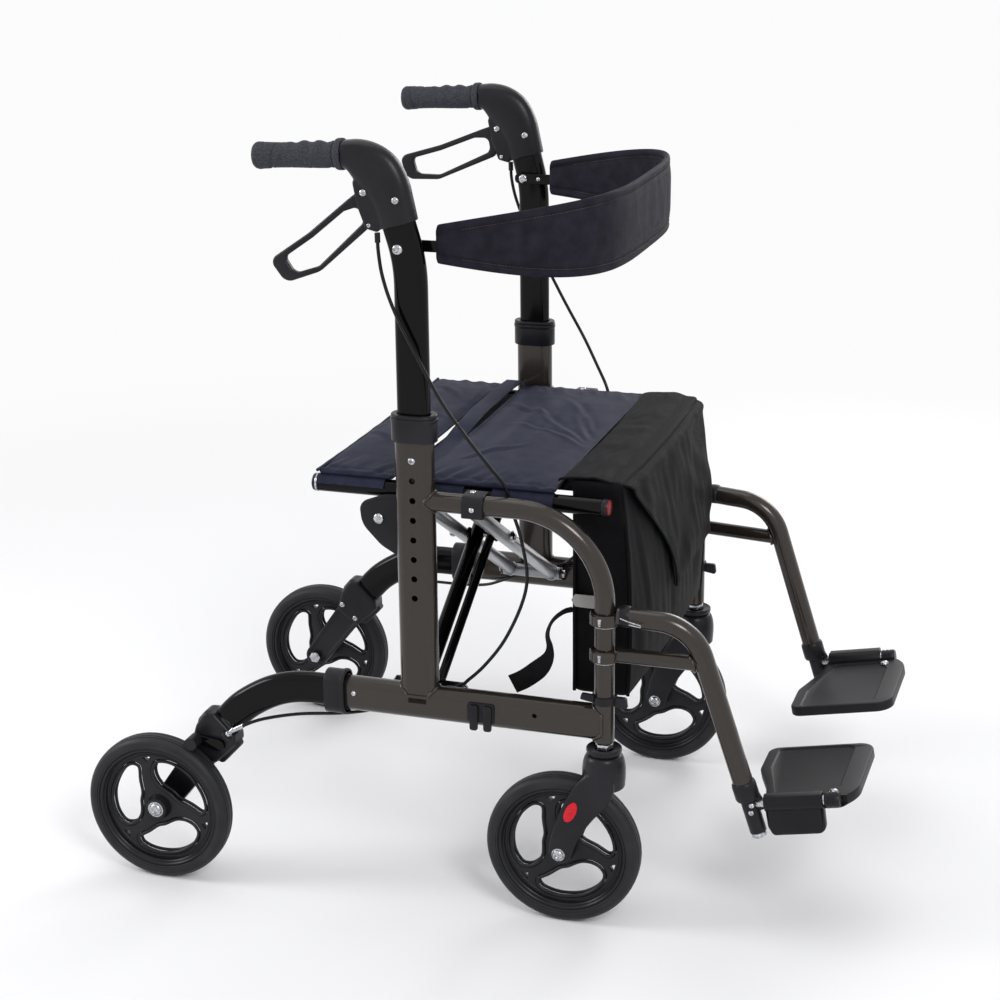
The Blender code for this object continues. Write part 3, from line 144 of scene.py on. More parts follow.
HANGER_FOOT_Z = 0.212
HANGER_TOE = radians(4.5)
HANGER_START = 0.0185
FOOT_TUBE_Z = 0.143
FOOT_ROD_Z = 0.185
FOOT_PITCH = radians(10.8)
PLATE_THICK = 0.013
PLATE_LONG = 0.138
PLATE_REAR = -0.008
PLATE_INNER_Y = 0.066

# Sizes of the moulded and sewn pieces
SHOE_INNER_Y = LEG_SPLAY_Y + 0.0198
SHANK_TOP = (-0.276, 0.204)
TYRE_DEEP = 0.0165
FORK_TOP = 0.2354
PAD_HALF_Y = 0.2315
PAD_HEM = 0.0025
BAG_X = (0.184, 0.262)
BAG_HALF = 0.205
BAG_Z = (0.290, 0.572)
FLAP_HALF = 0.206
STRAP_START_X = 0.027
STRAP_DEEP = 0.198
STRAP_SQUARE = 0.52
STRAP_TALL = (0.046, 0.096)
STRAP_HEM = 0.0105

# Middle of the right brake cable, from the handle housing down to the brake's clamp
CABLE = [(-0.037, 0.2615, 0.874), (-0.036, 0.262, 0.85), (-0.03, 0.265, 0.82),
         (-0.016, 0.268, 0.783), (0.009, 0.269, 0.734), (0.04, 0.268, 0.677),
         (0.07, 0.26, 0.63), (0.094, 0.247, 0.592), (0.108, 0.238, 0.57),
         (0.114, 0.2354, 0.553), (0.119, 0.2354, 0.533), (0.128, 0.232, 0.5),
         (0.134, 0.226, 0.449), (0.126, 0.224, 0.409), (0.104, 0.2255, 0.36),
         (0.079, 0.23, 0.325), (0.058, 0.2345, 0.304), (0.047, 0.2354, 0.296),
         (0.006, 0.2354, 0.281), (-0.03, 0.2354, 0.268), (-0.05, 0.2356, 0.259),
         (-0.075, 0.24, 0.249), (-0.113, 0.247, 0.243), (-0.166, 0.256, 0.239),
         (-0.21, 0.269, 0.232), (-0.236, 0.2755, 0.222), (-0.252, 0.2765, 0.213)]

# Camera and light: place, turn, lens, and for each lamp its place, width in metres and watts
CAMERA_AT = (0.8303, -2.628, 1.373)
CAMERA_TURN = (radians(17.967), radians(18.179), radians(-0.61))
CAMERA_LENS_MM = 78.31
FLOOR_FADE = (0.9, 2.6)
ROOM_LIGHT = 0.58
LAMPS = (("key", (1.8, -2.4, 2.6), 1.0, 42), ("left", (-2.6, -1.0, 1.6), 1.0, 29),
         ("top", (-0.6, 0.2, 3.4), 2.0, 14), ("rim", (0.8, 2.6, 1.6), 1.4, 25))

# The drawing's axis is the main post's; SHIFT moves it to the row's origin
bearing_low, bearing_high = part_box("caster_bearing_right")
SHIFT = Matrix.Translation(((bearing_low.x + bearing_high.x) / 2 - CASTER_X, 0, 0))
SIDES = (("right", -1), ("left", 1))
HAND = {s: side for side, s in SIDES}
SLUNG = ("outer_arm", "inner_arm")


# Colours and materials

def linear(code):
    """A #rrggbb colour as the linear values that the shaders take."""
    values = [int(code[i:i + 2], 16) / 255 for i in (1, 3, 5)]
    return [c / 12.92 if c <= 0.04045 else ((c + 0.055) / 1.055) ** 2.4 for c in values] + [1]


def per_metre(mark):
    """A pattern's scale from the real size of one of its marks in millimetres."""
    return 1000 / mark


def add(mat, kind, inputs=None, into=None, **options):
    """Add a node with its options, fill its inputs with values or with other outputs, and
    let its first output feed the socket given as into."""
    made = mat.node_tree.nodes.new(kind)
    for key, value in options.items():
        setattr(made, key, value)
    for key, value in (inputs or {}).items():
        if isinstance(value, bpy.types.NodeSocket):
            mat.node_tree.links.new(value, made.inputs[key])
        else:
            made.inputs[key].default_value = value
    if into is not None:
        mat.node_tree.links.new(made.outputs[0], into)
    return made


def surface(name, roughness, **uniform):
    """A new material with its Principled shader, and the socket for its pattern's position."""
    mat = bpy.data.materials.new(name)
    mat.use_nodes = True
    shader = mat.node_tree.nodes["Principled BSDF"]
    shader.inputs["Roughness"].default_value = roughness
    for key, value in uniform.items():
        shader.inputs[key.replace("_", " ")].default_value = value
    position = add(mat, "ShaderNodeTexCoord").outputs["Object"]
    return mat, shader, position


def two_tone(mat, shader, position, low, high, mark, detail=3.0, spread=(0.35, 0.65)):
    """Colour that drifts between two tones in clouds of the given size in millimetres."""
    clouds = add(mat, "ShaderNodeTexNoise", {"Vector": position, "Scale": per_metre(mark),
                                             "Detail": detail})
    ramp = add(mat, "ShaderNodeValToRGB", {"Fac": clouds.outputs["Fac"]}, shader.inputs["Base Color"])
    for k, code in enumerate((low, high)):
        ramp.color_ramp.elements[k].position = spread[k]
        ramp.color_ramp.elements[k].color = linear(code)


def relief(mat, shader, position, mark, depth, strength, kind="Noise", output="Fac", **inputs):
    """Surface raised by marks of the given size in millimetres, as high as depth in metres."""
    marks = add(mat, "ShaderNodeTex" + kind, {"Vector": position, "Scale": per_metre(mark), **inputs})
    add(mat, "ShaderNodeBump", {"Height": marks.outputs[output], "Distance": depth, "Strength": strength},
        shader.inputs["Normal"])


def sprayed_paint(name, low, high, metallic, roughness, shine=0.3):
    """Sprayed paint on metal tube: fine flake in the colour, faint orange peel, clear coat."""
    mat, shader, position = surface(name, roughness, Metallic=metallic, Coat_Weight=shine * 1.5,
                                    Coat_Roughness=0.1, Specular_IOR_Level=shine)
    # Real flake is about 0.05 mm across; it is drawn coarser, so that it shows
    flakes = add(mat, "ShaderNodeTexVoronoi", {"Vector": position, "Scale": per_metre(0.3125)})
    flake = add(mat, "ShaderNodeValToRGB", {"Fac": flakes.outputs["Color"]}, shader.inputs["Base Color"])
    flake.color_ramp.elements[0].color = linear(low)
    flake.color_ramp.elements[1].color = linear(high)
    # Orange peel in waves of about 2 mm, as a spray gun leaves it
    relief(mat, shader, position, 2.222, 0.00003, 0.5, Detail=2.0)
    return mat


def moulded(name, low, high, roughness, spots=0.385, depth=0.00006):
    """Injection-moulded plastic: the mould's spark-eroded grain, faint flow marks in the tone.

    Real grain is 0.1 to 0.2 mm; spots, its size in millimetres, is drawn coarser, so that it
    shows. The flow marks are as long as a hand's width.
    """
    mat, shader, position = surface(name, roughness, Specular_IOR_Level=0.22)
    two_tone(mat, shader, position, low, high, 71.43, 4.0)
    relief(mat, shader, position, spots, depth, 0.7, Detail=2.0)
    return mat


def cloth(name, low, high, thread, roughness, depth, sheen=0.02, ribs=False):
    """Woven cloth: threads over and under, or ribs one way, fuzz on them and a soft sheen.

    Thread is their spacing in millimetres, about twice the real one, so that it shows.
    """
    mat, shader, position = surface(name, roughness, Sheen_Weight=sheen, Sheen_Roughness=0.35,
                                    Specular_IOR_Level=0.1)
    two_tone(mat, shader, position, low, high, 16.67, 6.0, (0.3, 0.7))
    # A wave texture at scale 1 has its bands 0.314 apart
    waves = [add(mat, "ShaderNodeTexWave", {
        "Vector": position, "Scale": 0.314 * per_metre(thread), "Distortion": 0.6, "Detail": 1.0},
        bands_direction=axis, wave_profile="SIN").outputs["Fac"] for axis in ("X", "X" if ribs else "Y")]
    woven = add(mat, "ShaderNodeMath", {0: waves[0], 1: waves[1]}, operation="MULTIPLY")
    # Loose fibres, drawn at half a millimetre where real ones are far finer
    fuzz = add(mat, "ShaderNodeTexNoise", {"Vector": position, "Scale": per_metre(0.556), "Detail": 3.0})
    both = add(mat, "ShaderNodeMath", {0: woven.outputs[0], 1: fuzz.outputs["Fac"]}, operation="ADD")
    add(mat, "ShaderNodeBump", {"Height": both.outputs[0], "Distance": depth, "Strength": 0.8},
        shader.inputs["Normal"])
    return mat


def rubber_tyre():
    """Moulded tyre rubber: dull, a little dusty in wide clouds, with a dry skin."""
    mat, shader, position = surface("Dusty grey tyre rubber", 0.5, Specular_IOR_Level=0.3)
    two_tone(mat, shader, position, "#161619", "#222227", 28.57, 6.0)
    # Dust and scuffs of 0.2 mm and up, drawn coarser, so that they show
    relief(mat, shader, position, 0.667, 0.0001, 0.6, Detail=5.0)
    return mat


def rubber_grip():
    """Foamed rubber of the grips: charcoal with the light mottle and open pores of its cells."""
    mat, shader, position = surface("Mottled charcoal grip rubber", 0.72, Specular_IOR_Level=0.3)
    # Cells of 0.5 mm, drawn coarser, so that they show
    two_tone(mat, shader, position, "#1f2025", "#40434c", 1.4286, 6.0, (0.36, 0.7))
    relief(mat, shader, position, 1.111, 0.0002, 0.6, "Voronoi", "Distance")
    return mat


def zinc():
    """Zinc plated on turned steel: bright, with small clouds and faint tool marks in the gloss."""
    mat, shader, position = surface("Bright zinc-plated steel", 0.22, Metallic=1.0)
    two_tone(mat, shader, position, "#8c8d91", "#cfd0d4", 3.333, 4.0)
    # Tool marks of 0.1 mm, drawn coarser, so that they show
    relief(mat, shader, position, 0.4, 0.00002, 0.5, Detail=2.0)
    return mat


def red_plastic(name, low, high, roughness):
    """Clear red moulded plastic whose back has small prisms, so that it glints in points."""
    mat, shader, position = surface(name, roughness, Coat_Weight=0.15, Coat_Roughness=0.04,
                                    Specular_IOR_Level=0.3)
    two_tone(mat, shader, position, low, high, 1.111, 2.0)
    # Prisms of 1.4 mm, a little under their real 2 mm
    relief(mat, shader, position, 1.429, 0.0002, 0.4, "Voronoi", "Distance")
    return mat


# Aluminium tube sprayed bronze: dark brown in shade, warm and sparkling along each highlight
BRONZE = sprayed_paint("Metallic bronze paint on oval tube", "#231e1b", "#3c3530", 0.5, 0.24)
# Powder coat: deep black with a sharp, narrow highlight
BLACK_PAINT = sprayed_paint("Gloss black powder coat", "#040405", "#09090b", 0.0, 0.12, 0.09)
# Silver-grey paint on the outer leaf: even grey with a broad soft shine
GREY_PAINT = sprayed_paint("Silver-grey metallic paint on the brace", "#77787d", "#a2a3a8", 0.7, 0.32)
# Moulded nylon of collars and clips: near black, its highlight broken up by the grain
PLASTIC = moulded("Black moulded nylon with fine grain", "#131317", "#1d1d22", 0.38)
# Moulded housings: as dark, with finer grain and a satin highlight
HOUSING = moulded("Satin moulded housing plastic", "#141418", "#1f1f24", 0.32, 0.5, 0.00004)
# Wheel plastic: charcoal, a shade lighter than the tyre, with soft highlights on its borders
WHEEL = moulded("Charcoal moulded wheel plastic", "#17171b", "#232328", 0.3, 0.556, 0.00004)
# Footplate plastic: coarse grain underfoot, so it looks dull and even
TREAD = moulded("Charcoal footplate plastic", "#0c0c0f", "#141418", 0.44, 0.833, 0.00016)
# Pale moulded tab: warm light grey, hardly any shine
PALE = moulded("Pale grey moulded pull tab", "#8f8d89", "#a8a6a2", 0.45)
# Vinyl sheath: black and slick, with a thin bright line along it
SHEATH = moulded("Black vinyl cable sheath", "#0b0b0d", "#151518", 0.22, 1.111, 0.00002)
# Woven nylon of the panels: slate blue that greys along folds
SEAT_CLOTH = cloth("Slate woven nylon of the padded seat", "#1e2030", "#292c3d", 0.8, 0.62, 0.0001, 0.02)
# Woven nylon of the bag: black with no colour of its own, folds shown by their shade
BAG_CLOTH = cloth("Black woven nylon of the bag", "#060608", "#0c0c0f", 0.9, 0.7, 0.00016, 0.005)
# Woven facing of the strap: warm charcoal with a close, dry texture
STRAP_CLOTH = cloth("Dark woven facing of the back strap", "#18171f", "#25242e", 0.8, 0.66, 0.00014, 0.015)
# Polyester webbing: dull black in fine ribs
WEBBING = cloth("Ribbed polyester webbing", "#0b0b0d", "#151517", 1.1, 0.75, 0.00016, 0.01, True)
# Bonded thread: brown stitches, lighter than the cloth they sink into
THREAD = cloth("Dark brown bonded sewing thread", "#3d332f", "#5a4c46", 0.4, 0.6, 0.00003)
# Tyre rubber: dull grey, a little lighter where dust lies
TYRE = rubber_tyre()
# Grip rubber: charcoal speckled with light grey
GRIP = rubber_grip()
# Zinc: small silver glints against the dark paint
STEEL = zinc()
# Reflector: clear bright red. Cap: the same plastic, deeper and less glossy
REFLECTOR = red_plastic("Red prism reflector", "#b40018", "#dc0422", 0.18)
RED_CAP = red_plastic("Red moulded end cap", "#5c000b", "#7c0612", 0.35)

# Slots of the part that each material fills; the reds have none
SLOTS = {mat.name: slot for slot, mats in {
    "bronze_paint": (BRONZE,), "black_paint": (BLACK_PAINT,), "grey_paint": (GREY_PAINT,),
    "black_plastic": (PLASTIC, HOUSING, TREAD, PALE), "wheel_plastic": (WHEEL,), "bolt_steel": (STEEL,),
    "tyre_rubber": (TYRE,), "grip_rubber": (GRIP,), "seat_cloth": (SEAT_CLOTH,),
    "black_cloth": (BAG_CLOTH, STRAP_CLOTH, THREAD, WEBBING)}.items() for mat in mats}


# Shapes

def smoothstep(a, b, t):
    """0 at a, 1 at b, with an even curve between; a may be above b."""
    t = max(0.0, min(1.0, (t - a) / (b - a)))
    return t * t * (3 - 2 * t)


def place(obj, body, material, node=None):
    """Move a piece to the row's frame and give it its material. Tie it to its body, or bake it in place
    when it hangs between the two arms. Hide the CAD node it stands for.
    """
    bpy.context.view_layer.update()
    obj.data.transform(SHIFT @ obj.matrix_world)
    obj.matrix_world = Matrix.Identity(4)
    obj.data.materials.clear()
    obj.data.materials.append(material)
    if body == SLUNG:
        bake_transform(obj)
    else:
        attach(obj, body)
    if node:
        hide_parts(node)


def as_object(name, mesh, angle=40):
    """A mesh as an object, smooth but for edges sharper than angle."""
    mesh.shade_smooth()
    mesh.set_sharp_from_angle(angle=radians(angle))
    obj = bpy.data.objects.new(name, mesh)
    bpy.context.scene.collection.objects.link(obj)
    return obj


def from_bmesh(name, bm, angle=40):
    """A built mesh as an object, with doubled corners merged and faces outward."""
    bmesh.ops.remove_doubles(bm, verts=bm.verts, dist=0.000005)
    bmesh.ops.recalc_face_normals(bm, faces=bm.faces)
    mesh = bpy.data.meshes.new(name)
    bm.to_mesh(mesh)
    bm.free()
    return as_object(name, mesh, angle)


def applied(obj):
    """The object as a plain mesh, with its curve and modifiers evaluated."""
    name = obj.name
    graph = bpy.context.evaluated_depsgraph_get()
    mesh = bpy.data.meshes.new_from_object(obj.evaluated_get(graph))
    mesh.transform(obj.matrix_world)
    bpy.data.objects.remove(obj, do_unlink=True)
    bm = bmesh.new()
    bm.from_mesh(mesh)
    return from_bmesh(name, bm)


def combined(name, *objects):
    """One object from several."""
    bm = bmesh.new()
    for obj in objects:
        bpy.context.view_layer.update()
        mesh = obj.data.copy()
        mesh.transform(obj.matrix_world)
        bm.from_mesh(mesh)
        bpy.data.objects.remove(obj, do_unlink=True)
    mesh = bpy.data.meshes.new(name)
    bm.to_mesh(mesh)
    bm.free()
    return as_object(name, mesh)


def is_one_piece(obj):
    """Whether every corner of a mesh can be reached along its edges from the first."""
    bm = bmesh.new()
    bm.from_mesh(obj.data)
    bm.verts.ensure_lookup_table()
    seen, front = {0}, [bm.verts[0]]
    while front:
        for edge in front.pop().link_edges:
            for vert in edge.verts:
                if vert.index not in seen:
                    seen.add(vert.index)
                    front.append(vert)
    one = len(seen) == len(bm.verts)
    bm.free()
    return one


def cut(obj, *tools):
    """Take tools out of a piece; pieces that overlap inside one object are allowed."""
    for tool in tools:
        modifier = obj.modifiers.new("cut", "BOOLEAN")
        modifier.operation = "DIFFERENCE"
        modifier.solver = "EXACT"
        modifier.use_self = not is_one_piece(obj)
        modifier.object = tool
        bpy.context.view_layer.update()
        obj = applied(obj)
        bpy.data.objects.remove(tool, do_unlink=True)
    return obj


def soften(obj, width, segments=3, angle=30):
    """Round the sharp edges of a piece."""
    modifier = obj.modifiers.new("soft edges", "BEVEL")
    modifier.width = width
    modifier.segments = segments
    modifier.limit_method = "ANGLE"
    modifier.angle_limit = radians(angle)
    return applied(obj)


def loft(name, rings, angle=40, ends=True):
    """Skin through rings of points, each closed round."""
    count = len(rings[0])
    verts = [tuple(p) for ring in rings for p in ring]
    faces = []
    for k in range(len(rings) - 1):
        for i in range(count):
            j = (i + 1) % count
            a, b = k * count, (k + 1) * count
            faces.append((a + i, a + j, b + j, b + i))
    if ends:
        faces.append(tuple(range(count))[::-1])
        faces.append(tuple(range(len(verts) - count, len(verts))))
    mesh = bpy.data.meshes.new(name)
    mesh.from_pydata(verts, [], faces)
    bm = bmesh.new()
    bm.from_mesh(mesh)
    bpy.data.meshes.remove(mesh)
    return from_bmesh(name, bm, angle)


def arc(centre, radius, start, end, steps):
    """Points on an arc, from start to end in degrees."""
    turns = np.linspace(radians(start), radians(end), steps + 1)
    return [(centre[0] + radius * cos(a), centre[1] + radius * sin(a)) for a in turns]


def oval(long, wide, steps=14, grow=0.0):
    """Flat-sided oval as rolled tube has, grown by an offset."""
    r = wide / 2 + grow
    flat = (long - wide) / 2
    return arc((flat, 0), r, -90, 90, steps) + arc((-flat, 0), r, 90, 270, steps)


def upright(outline):
    """The same outline, standing on its narrow side."""
    return [(v, u) for u, v in outline][::-1]


def capsule(p, q, rp, rq, steps=14):
    """Outline round two circles of unlike radius."""
    p, q = Vector(p), Vector(q)
    along = (q - p).normalized()
    tilt = acos(max(-1.0, min(1.0, (rp - rq) / (q - p).length)))
    base = atan2(along.y, along.x)
    first = [(q.x + rq * cos(a), q.y + rq * sin(a))
             for a in np.linspace(base - tilt, base + tilt, steps + 1)]
    second = [(p.x + rp * cos(a), p.y + rp * sin(a))
              for a in np.linspace(base + tilt, base + 2 * pi - tilt, steps + 1)]
    return first + second


def rounded(corners, steps=8):
    """Outline through corners given as (u, v, radius), with each corner an arc."""
    outline = []
    count = len(corners)
    for i, (u, v, r) in enumerate(corners):
        here = Vector((u, v))
        before = (Vector(corners[i - 1][:2]) - here).normalized()
        after = (Vector(corners[(i + 1) % count][:2]) - here).normalized()
        if r == 0:
            outline.append(tuple(here))
            continue
        half = before.angle(after) / 2
        centre = here + (before + after).normalized() * r / sin(half)
        start = here + before * r / tan(half) - centre
        end = here + after * r / tan(half) - centre
        turn = start.angle_signed(end)
        for k in range(steps + 1):
            a = -turn * k / steps
            outline.append((centre.x + start.x * cos(a) - start.y * sin(a),
                            centre.y + start.x * sin(a) + start.y * cos(a)))
    return outline


def oblong(half_long, half_thick, radius, steps):
    """Outline of a flat bar or strap about its middle, with rounded corners."""
    corners = ((-half_long, -half_thick), (half_long, -half_thick),
               (half_long, half_thick), (-half_long, half_thick))
    return rounded([(u, v, radius) for u, v in corners], steps)


def smooth_ring(points, per_side=5):
    """A closed smooth outline through the given points."""
    count = len(points)
    pts = [Vector(p) for p in points]
    out = []
    for i in range(count):
        a, b, c, d = pts[i - 1], pts[i], pts[(i + 1) % count], pts[(i + 2) % count]
        for k in range(per_side):
            t = k / per_side
            out.append(tuple(0.5 * (2 * b + (c - a) * t + (2 * a - 5 * b + 4 * c - d) * t ** 2
                                    + (3 * b - a - 3 * c + d) * t ** 3)))
    return out


def smooth_line(points, step):
    """Even points on one smooth open curve through the route's own points."""
    pts = [Vector(p) for p in points]
    pts = [2 * pts[0] - pts[1]] + pts + [2 * pts[-1] - pts[-2]]
    path = [pts[1]]
    for a, b, c, d in zip(pts, pts[1:], pts[2:], pts[3:]):
        count = max(1, round((c - b).length / step))
        for k in range(1, count + 1):
            t = k / count
            path.append(0.5 * (2 * b + (c - a) * t + (2 * a - 5 * b + 4 * c - d) * t ** 2
                               + (3 * b - a - 3 * c + d) * t ** 3))
    return path


def distances(points):
    """Distance of each point from the first, along the path."""
    spans = [0.0]
    for p, q in zip(points, points[1:]):
        spans.append(spans[-1] + (q - p).length)
    return spans


def evenly(points, count):
    """The given count of points at even distances along a path."""
    spans = distances(points)
    even = []
    for k in range(count):
        want = spans[-1] * k / (count - 1)
        i = max(j for j, d in enumerate(spans) if d <= want + 1e-9)
        i = min(i, len(points) - 2)
        t = (want - spans[i]) / max(1e-9, spans[i + 1] - spans[i])
        even.append(points[i].lerp(points[i + 1], t))
    return even


FACING = {
    "X": Matrix(((0, 0, 1, 0), (1, 0, 0, 0), (0, 1, 0, 0), (0, 0, 0, 1))),
    "Y": Matrix(((1, 0, 0, 0), (0, 0, -1, 0), (0, 1, 0, 0), (0, 0, 0, 1))),
    "Z": Matrix.Identity(4),
}


def plate(name, outline, thick, facing, at, holes=(), edge=0.0008):
    """Flat outline with holes, extruded, with rounded edges."""
    curve = bpy.data.curves.new(name, "CURVE")
    curve.dimensions = "2D"
    curve.fill_mode = "BOTH"
    curve.extrude = thick / 2 - edge
    curve.bevel_depth = edge
    curve.bevel_resolution = 2
    curve.offset = -edge
    for ring in (outline, *holes):
        spline = curve.splines.new("POLY")
        spline.points.add(len(ring) - 1)
        for point, (u, v) in zip(spline.points, ring):
            point.co = (u, v, 0, 1)
        spline.use_cyclic_u = True
    obj = bpy.data.objects.new(name, curve)
    bpy.context.scene.collection.objects.link(obj)
    obj.matrix_world = Matrix.Translation(at) @ FACING[facing]
    bpy.context.view_layer.update()
    return applied(obj)


def tube(name, path, radius, resolution=8, cyclic=False):
    """Round tube along a path."""
    curve = bpy.data.curves.new(name, "CURVE")
    curve.dimensions = "3D"
    curve.bevel_depth = radius
    curve.bevel_resolution = resolution
    curve.use_fill_caps = not cyclic
    spline = curve.splines.new("POLY")
    spline.points.add(len(path) - 1)
    for point, co in zip(spline.points, path):
        point.co = (*co, 1)
    spline.use_cyclic_u = cyclic
    obj = bpy.data.objects.new(name, curve)
    bpy.context.scene.collection.objects.link(obj)
    return applied(obj)


def bend(corners, radius, steps=16):
    """Path through corners with a bend of the given radius at each inner one."""
    points = [Vector(corners[0])]
    for before, here, after in zip(corners, corners[1:], corners[2:]):
        here = Vector(here)
        a = (Vector(before) - here).normalized()
        b = (Vector(after) - here).normalized()
        half = a.angle(b) / 2
        centre = here + (a + b).normalized() * radius / sin(half)
        start = here + a * radius / tan(half) - centre
        end = here + b * radius / tan(half) - centre
        axis = start.cross(end).normalized()
        turn = start.angle(end)
        for k in range(steps + 1):
            points.append(centre + Matrix.Rotation(turn * k / steps, 3, axis) @ start)
    points.append(Vector(corners[-1]))
    return points


def turned(name, profile, placement=Matrix.Identity(4), steps=48, closed=False, angle=40):
    """Profile of (radius, height) turned about Z, then placed."""
    rows = len(profile)
    verts, faces = [], []
    for k in range(steps):
        a = 2 * pi * k / steps
        verts += [(r * cos(a), r * sin(a), h) for r, h in profile]
    spans = rows if closed else rows - 1
    for k in range(steps):
        for i in range(spans):
            j = (i + 1) % rows
            a, b = k * rows, ((k + 1) % steps) * rows
            faces.append((a + i, b + i, b + j, a + j))
    bm = bmesh.new()
    made = [bm.verts.new(placement @ Vector(v)) for v in verts]
    for face in faces:
        bm.faces.new([made[i] for i in face])
    bmesh.ops.remove_doubles(bm, verts=bm.verts, dist=0.000005)
    bmesh.ops.dissolve_degenerate(bm, dist=0.000005, edges=bm.edges)
    return from_bmesh(name, bm, angle)


def towards(at, axis):
    """Placement with its Z along an axis, from a point."""
    turn = Vector((0, 0, 1)).rotation_difference(Vector(axis)).to_matrix().to_4x4()
    return Matrix.Translation(at) @ turn


def bar(name, start, end, radius, edge=0.0006, steps=32):
    """Straight round bar with softened ends."""
    start, end = Vector(start), Vector(end)
    long = (end - start).length
    e = min(edge, radius * 0.5, long * 0.4)
    profile = [(0, 0), (radius - e, 0), (radius - 0.3 * e, 0.3 * e), (radius, e),
               (radius, long - e), (radius - 0.3 * e, long - 0.3 * e), (radius - e, long), (0, long)]
    return turned(name, profile, towards(start, end - start), steps)


def bolt(name, at, axis, radius, tall, drive=True, washer=0.0):
    """Domed bolt head with a socket, on a washer if one is given."""
    profile = [(0, tall * 0.45), (radius * 0.42, tall * 0.45), (radius * 0.46, tall * 0.97),
               (radius * 0.62, tall), (radius * 0.85, tall * 0.78), (radius, tall * 0.35), (radius, 0),
               (0, 0)]
    if not drive:
        profile = [(0, tall)] + profile[3:]
    parts = [turned(name + "_head", profile, towards(at, axis), 24)]
    if washer:
        low = Vector(at) - Vector(axis).normalized() * 0.0002
        parts.append(bar(name + "_washer", low, Vector(at) + Vector(axis).normalized() * 0.0009,
                         washer, 0.0002, 28))
    return combined(name, *parts)


def hex_nut(name, at, axis, radius, tall):
    """Six-sided nut with chamfered corners."""
    nut = turned(name, [(0, 0), (radius, 0), (radius, tall), (0, tall)], towards(at, axis), 6, angle=20)
    return soften(nut, radius * 0.1, 2, 20)


def weld(name, points, radius=0.0021):
    """Weld bead along a closed path, with its ripples."""
    bead = tube(name, smooth_ring(points, 3), radius, 3, True)
    for vert in bead.data.vertices:
        ripple = noise.noise(vert.co * 900.0)
        vert.co += Vector(vert.normal) * (0.00035 * ripple)
    return bead


def swept(name, path, outline, across, angle=40):
    """Sweep an outline along a path; across gives the outline's two directions from a tangent."""
    rings = []
    for k, here in enumerate(path):
        before, after = path[max(0, k - 1)], path[min(len(path) - 1, k + 1)]
        a, b = across((Vector(after) - Vector(before)).normalized())
        rings.append([Vector(here) + a * u + b * v for u, v in outline])
    return loft(name, rings, angle)


def moulding(obj, cell, rounds=6):
    """Melt joined solids into one moulded form with soft fillets."""
    remesh = obj.modifiers.new("one skin", "REMESH")
    remesh.mode = "VOXEL"
    remesh.voxel_size = cell
    relax = obj.modifiers.new("soft fillets", "SMOOTH")
    relax.factor = 0.5
    relax.iterations = rounds
    obj = applied(obj)
    obj.data.shade_smooth()
    return obj


# Side frames

def main_post(side, s):
    """Oval post with its row of height holes, the link cover behind it and its weld."""
    body = side + "_frame"
    y = s * FRAME_Y
    face = s * (FRAME_Y + POST_WIDE / 2)
    tall = POST_TOP - RAIL_Z
    post = plate("Main_post_" + side, oval(POST_LONG, POST_WIDE, 24), tall, "Z",
                 (0, y, RAIL_Z + tall / 2))
    bore = plate("bore", oval(POST_LONG, POST_WIDE, 24, -POST_WALL), 0.3, "Z", (0, y, 0.55), (),
                 0.0002)
    saddle = plate("saddle", upright(oval(RAIL_HIGH, RAIL_WIDE, 24, -0.0006)), 0.2, "X",
                   (0, y, RAIL_Z), (), 0.0002)
    holes = [bar("hole", (0, y, HOLE_TOP_Z - k * HOLE_PITCH),
                 (0, face + s * 0.01, HOLE_TOP_Z - k * HOLE_PITCH), 0.004, 0.0002, 24)
             for k in range(HOLE_COUNT)]
    place(cut(post, bore, saddle, *holes), body, BRONZE, "post_" + side)
    screw = turned("Height_screw_" + side, [
        (0, 0.0004), (0.0018, 0.0004), (0.002, 0.0022), (0.0034, 0.0024), (0.0046, 0.0014),
        (0.005, 0), (0, 0)], towards((0, face - s * 0.0002, HOLE_TOP_Z), (0, s, 0)), 32)
    place(screw, body, STEEL)

    x0 = -POST_LONG / 2
    outline = rounded([(x0 + 0.015, 0.543, 0.002), (x0 - 0.022, 0.541, 0.012),
                       (x0 - 0.056, 0.528, 0.014), (x0 - 0.053, 0.5, 0.03),
                       (x0 - 0.028, 0.474, 0.04), (x0 + 0.015, 0.45, 0.004)], 12)
    plate_y = FRAME_Y - POST_WIDE / 2 - 0.0032
    cheek = plate("Link_cover_" + side, outline, 0.005, "Y", (0, s * plate_y, 0), (), 0.0012)
    lip = plate("lip", rounded([(x0 + 0.01, 0.543, 0.001), (x0 - 0.02, 0.5412, 0.004),
                                (x0 - 0.05, 0.529, 0.0008), (x0 - 0.049, 0.5262, 0.0008),
                                (x0 - 0.02, 0.5372, 0.004), (x0 + 0.01, 0.5388, 0.001)], 6),
                0.0066, "Y", (0, s * plate_y, 0), (), 0.0008)
    place(combined("Link_cover_" + side, cheek, lip), body, PLASTIC)
    at = (x0 - 0.03, s * (plate_y + 0.0024), 0.509)
    place(slotted_bolt("Link_bolt_" + side, at, (0, s, 0), 0.0072, 0.0034), body, STEEL)
    place(slotted_bolt("Link_nut_" + side, (at[0], s * (plate_y - 0.0024), at[2]), (0, -s, 0),
                       0.006, 0.003), body, STEEL)
    bead = [(u, y + v, RAIL_Z + 0.01 + sqrt(max(0.0, 0.013 ** 2 - v * v)))
            for u, v in oval(POST_LONG, POST_WIDE, 16, 0.0002)]
    place(weld("Weld_post_foot_" + side, bead), body, BRONZE)


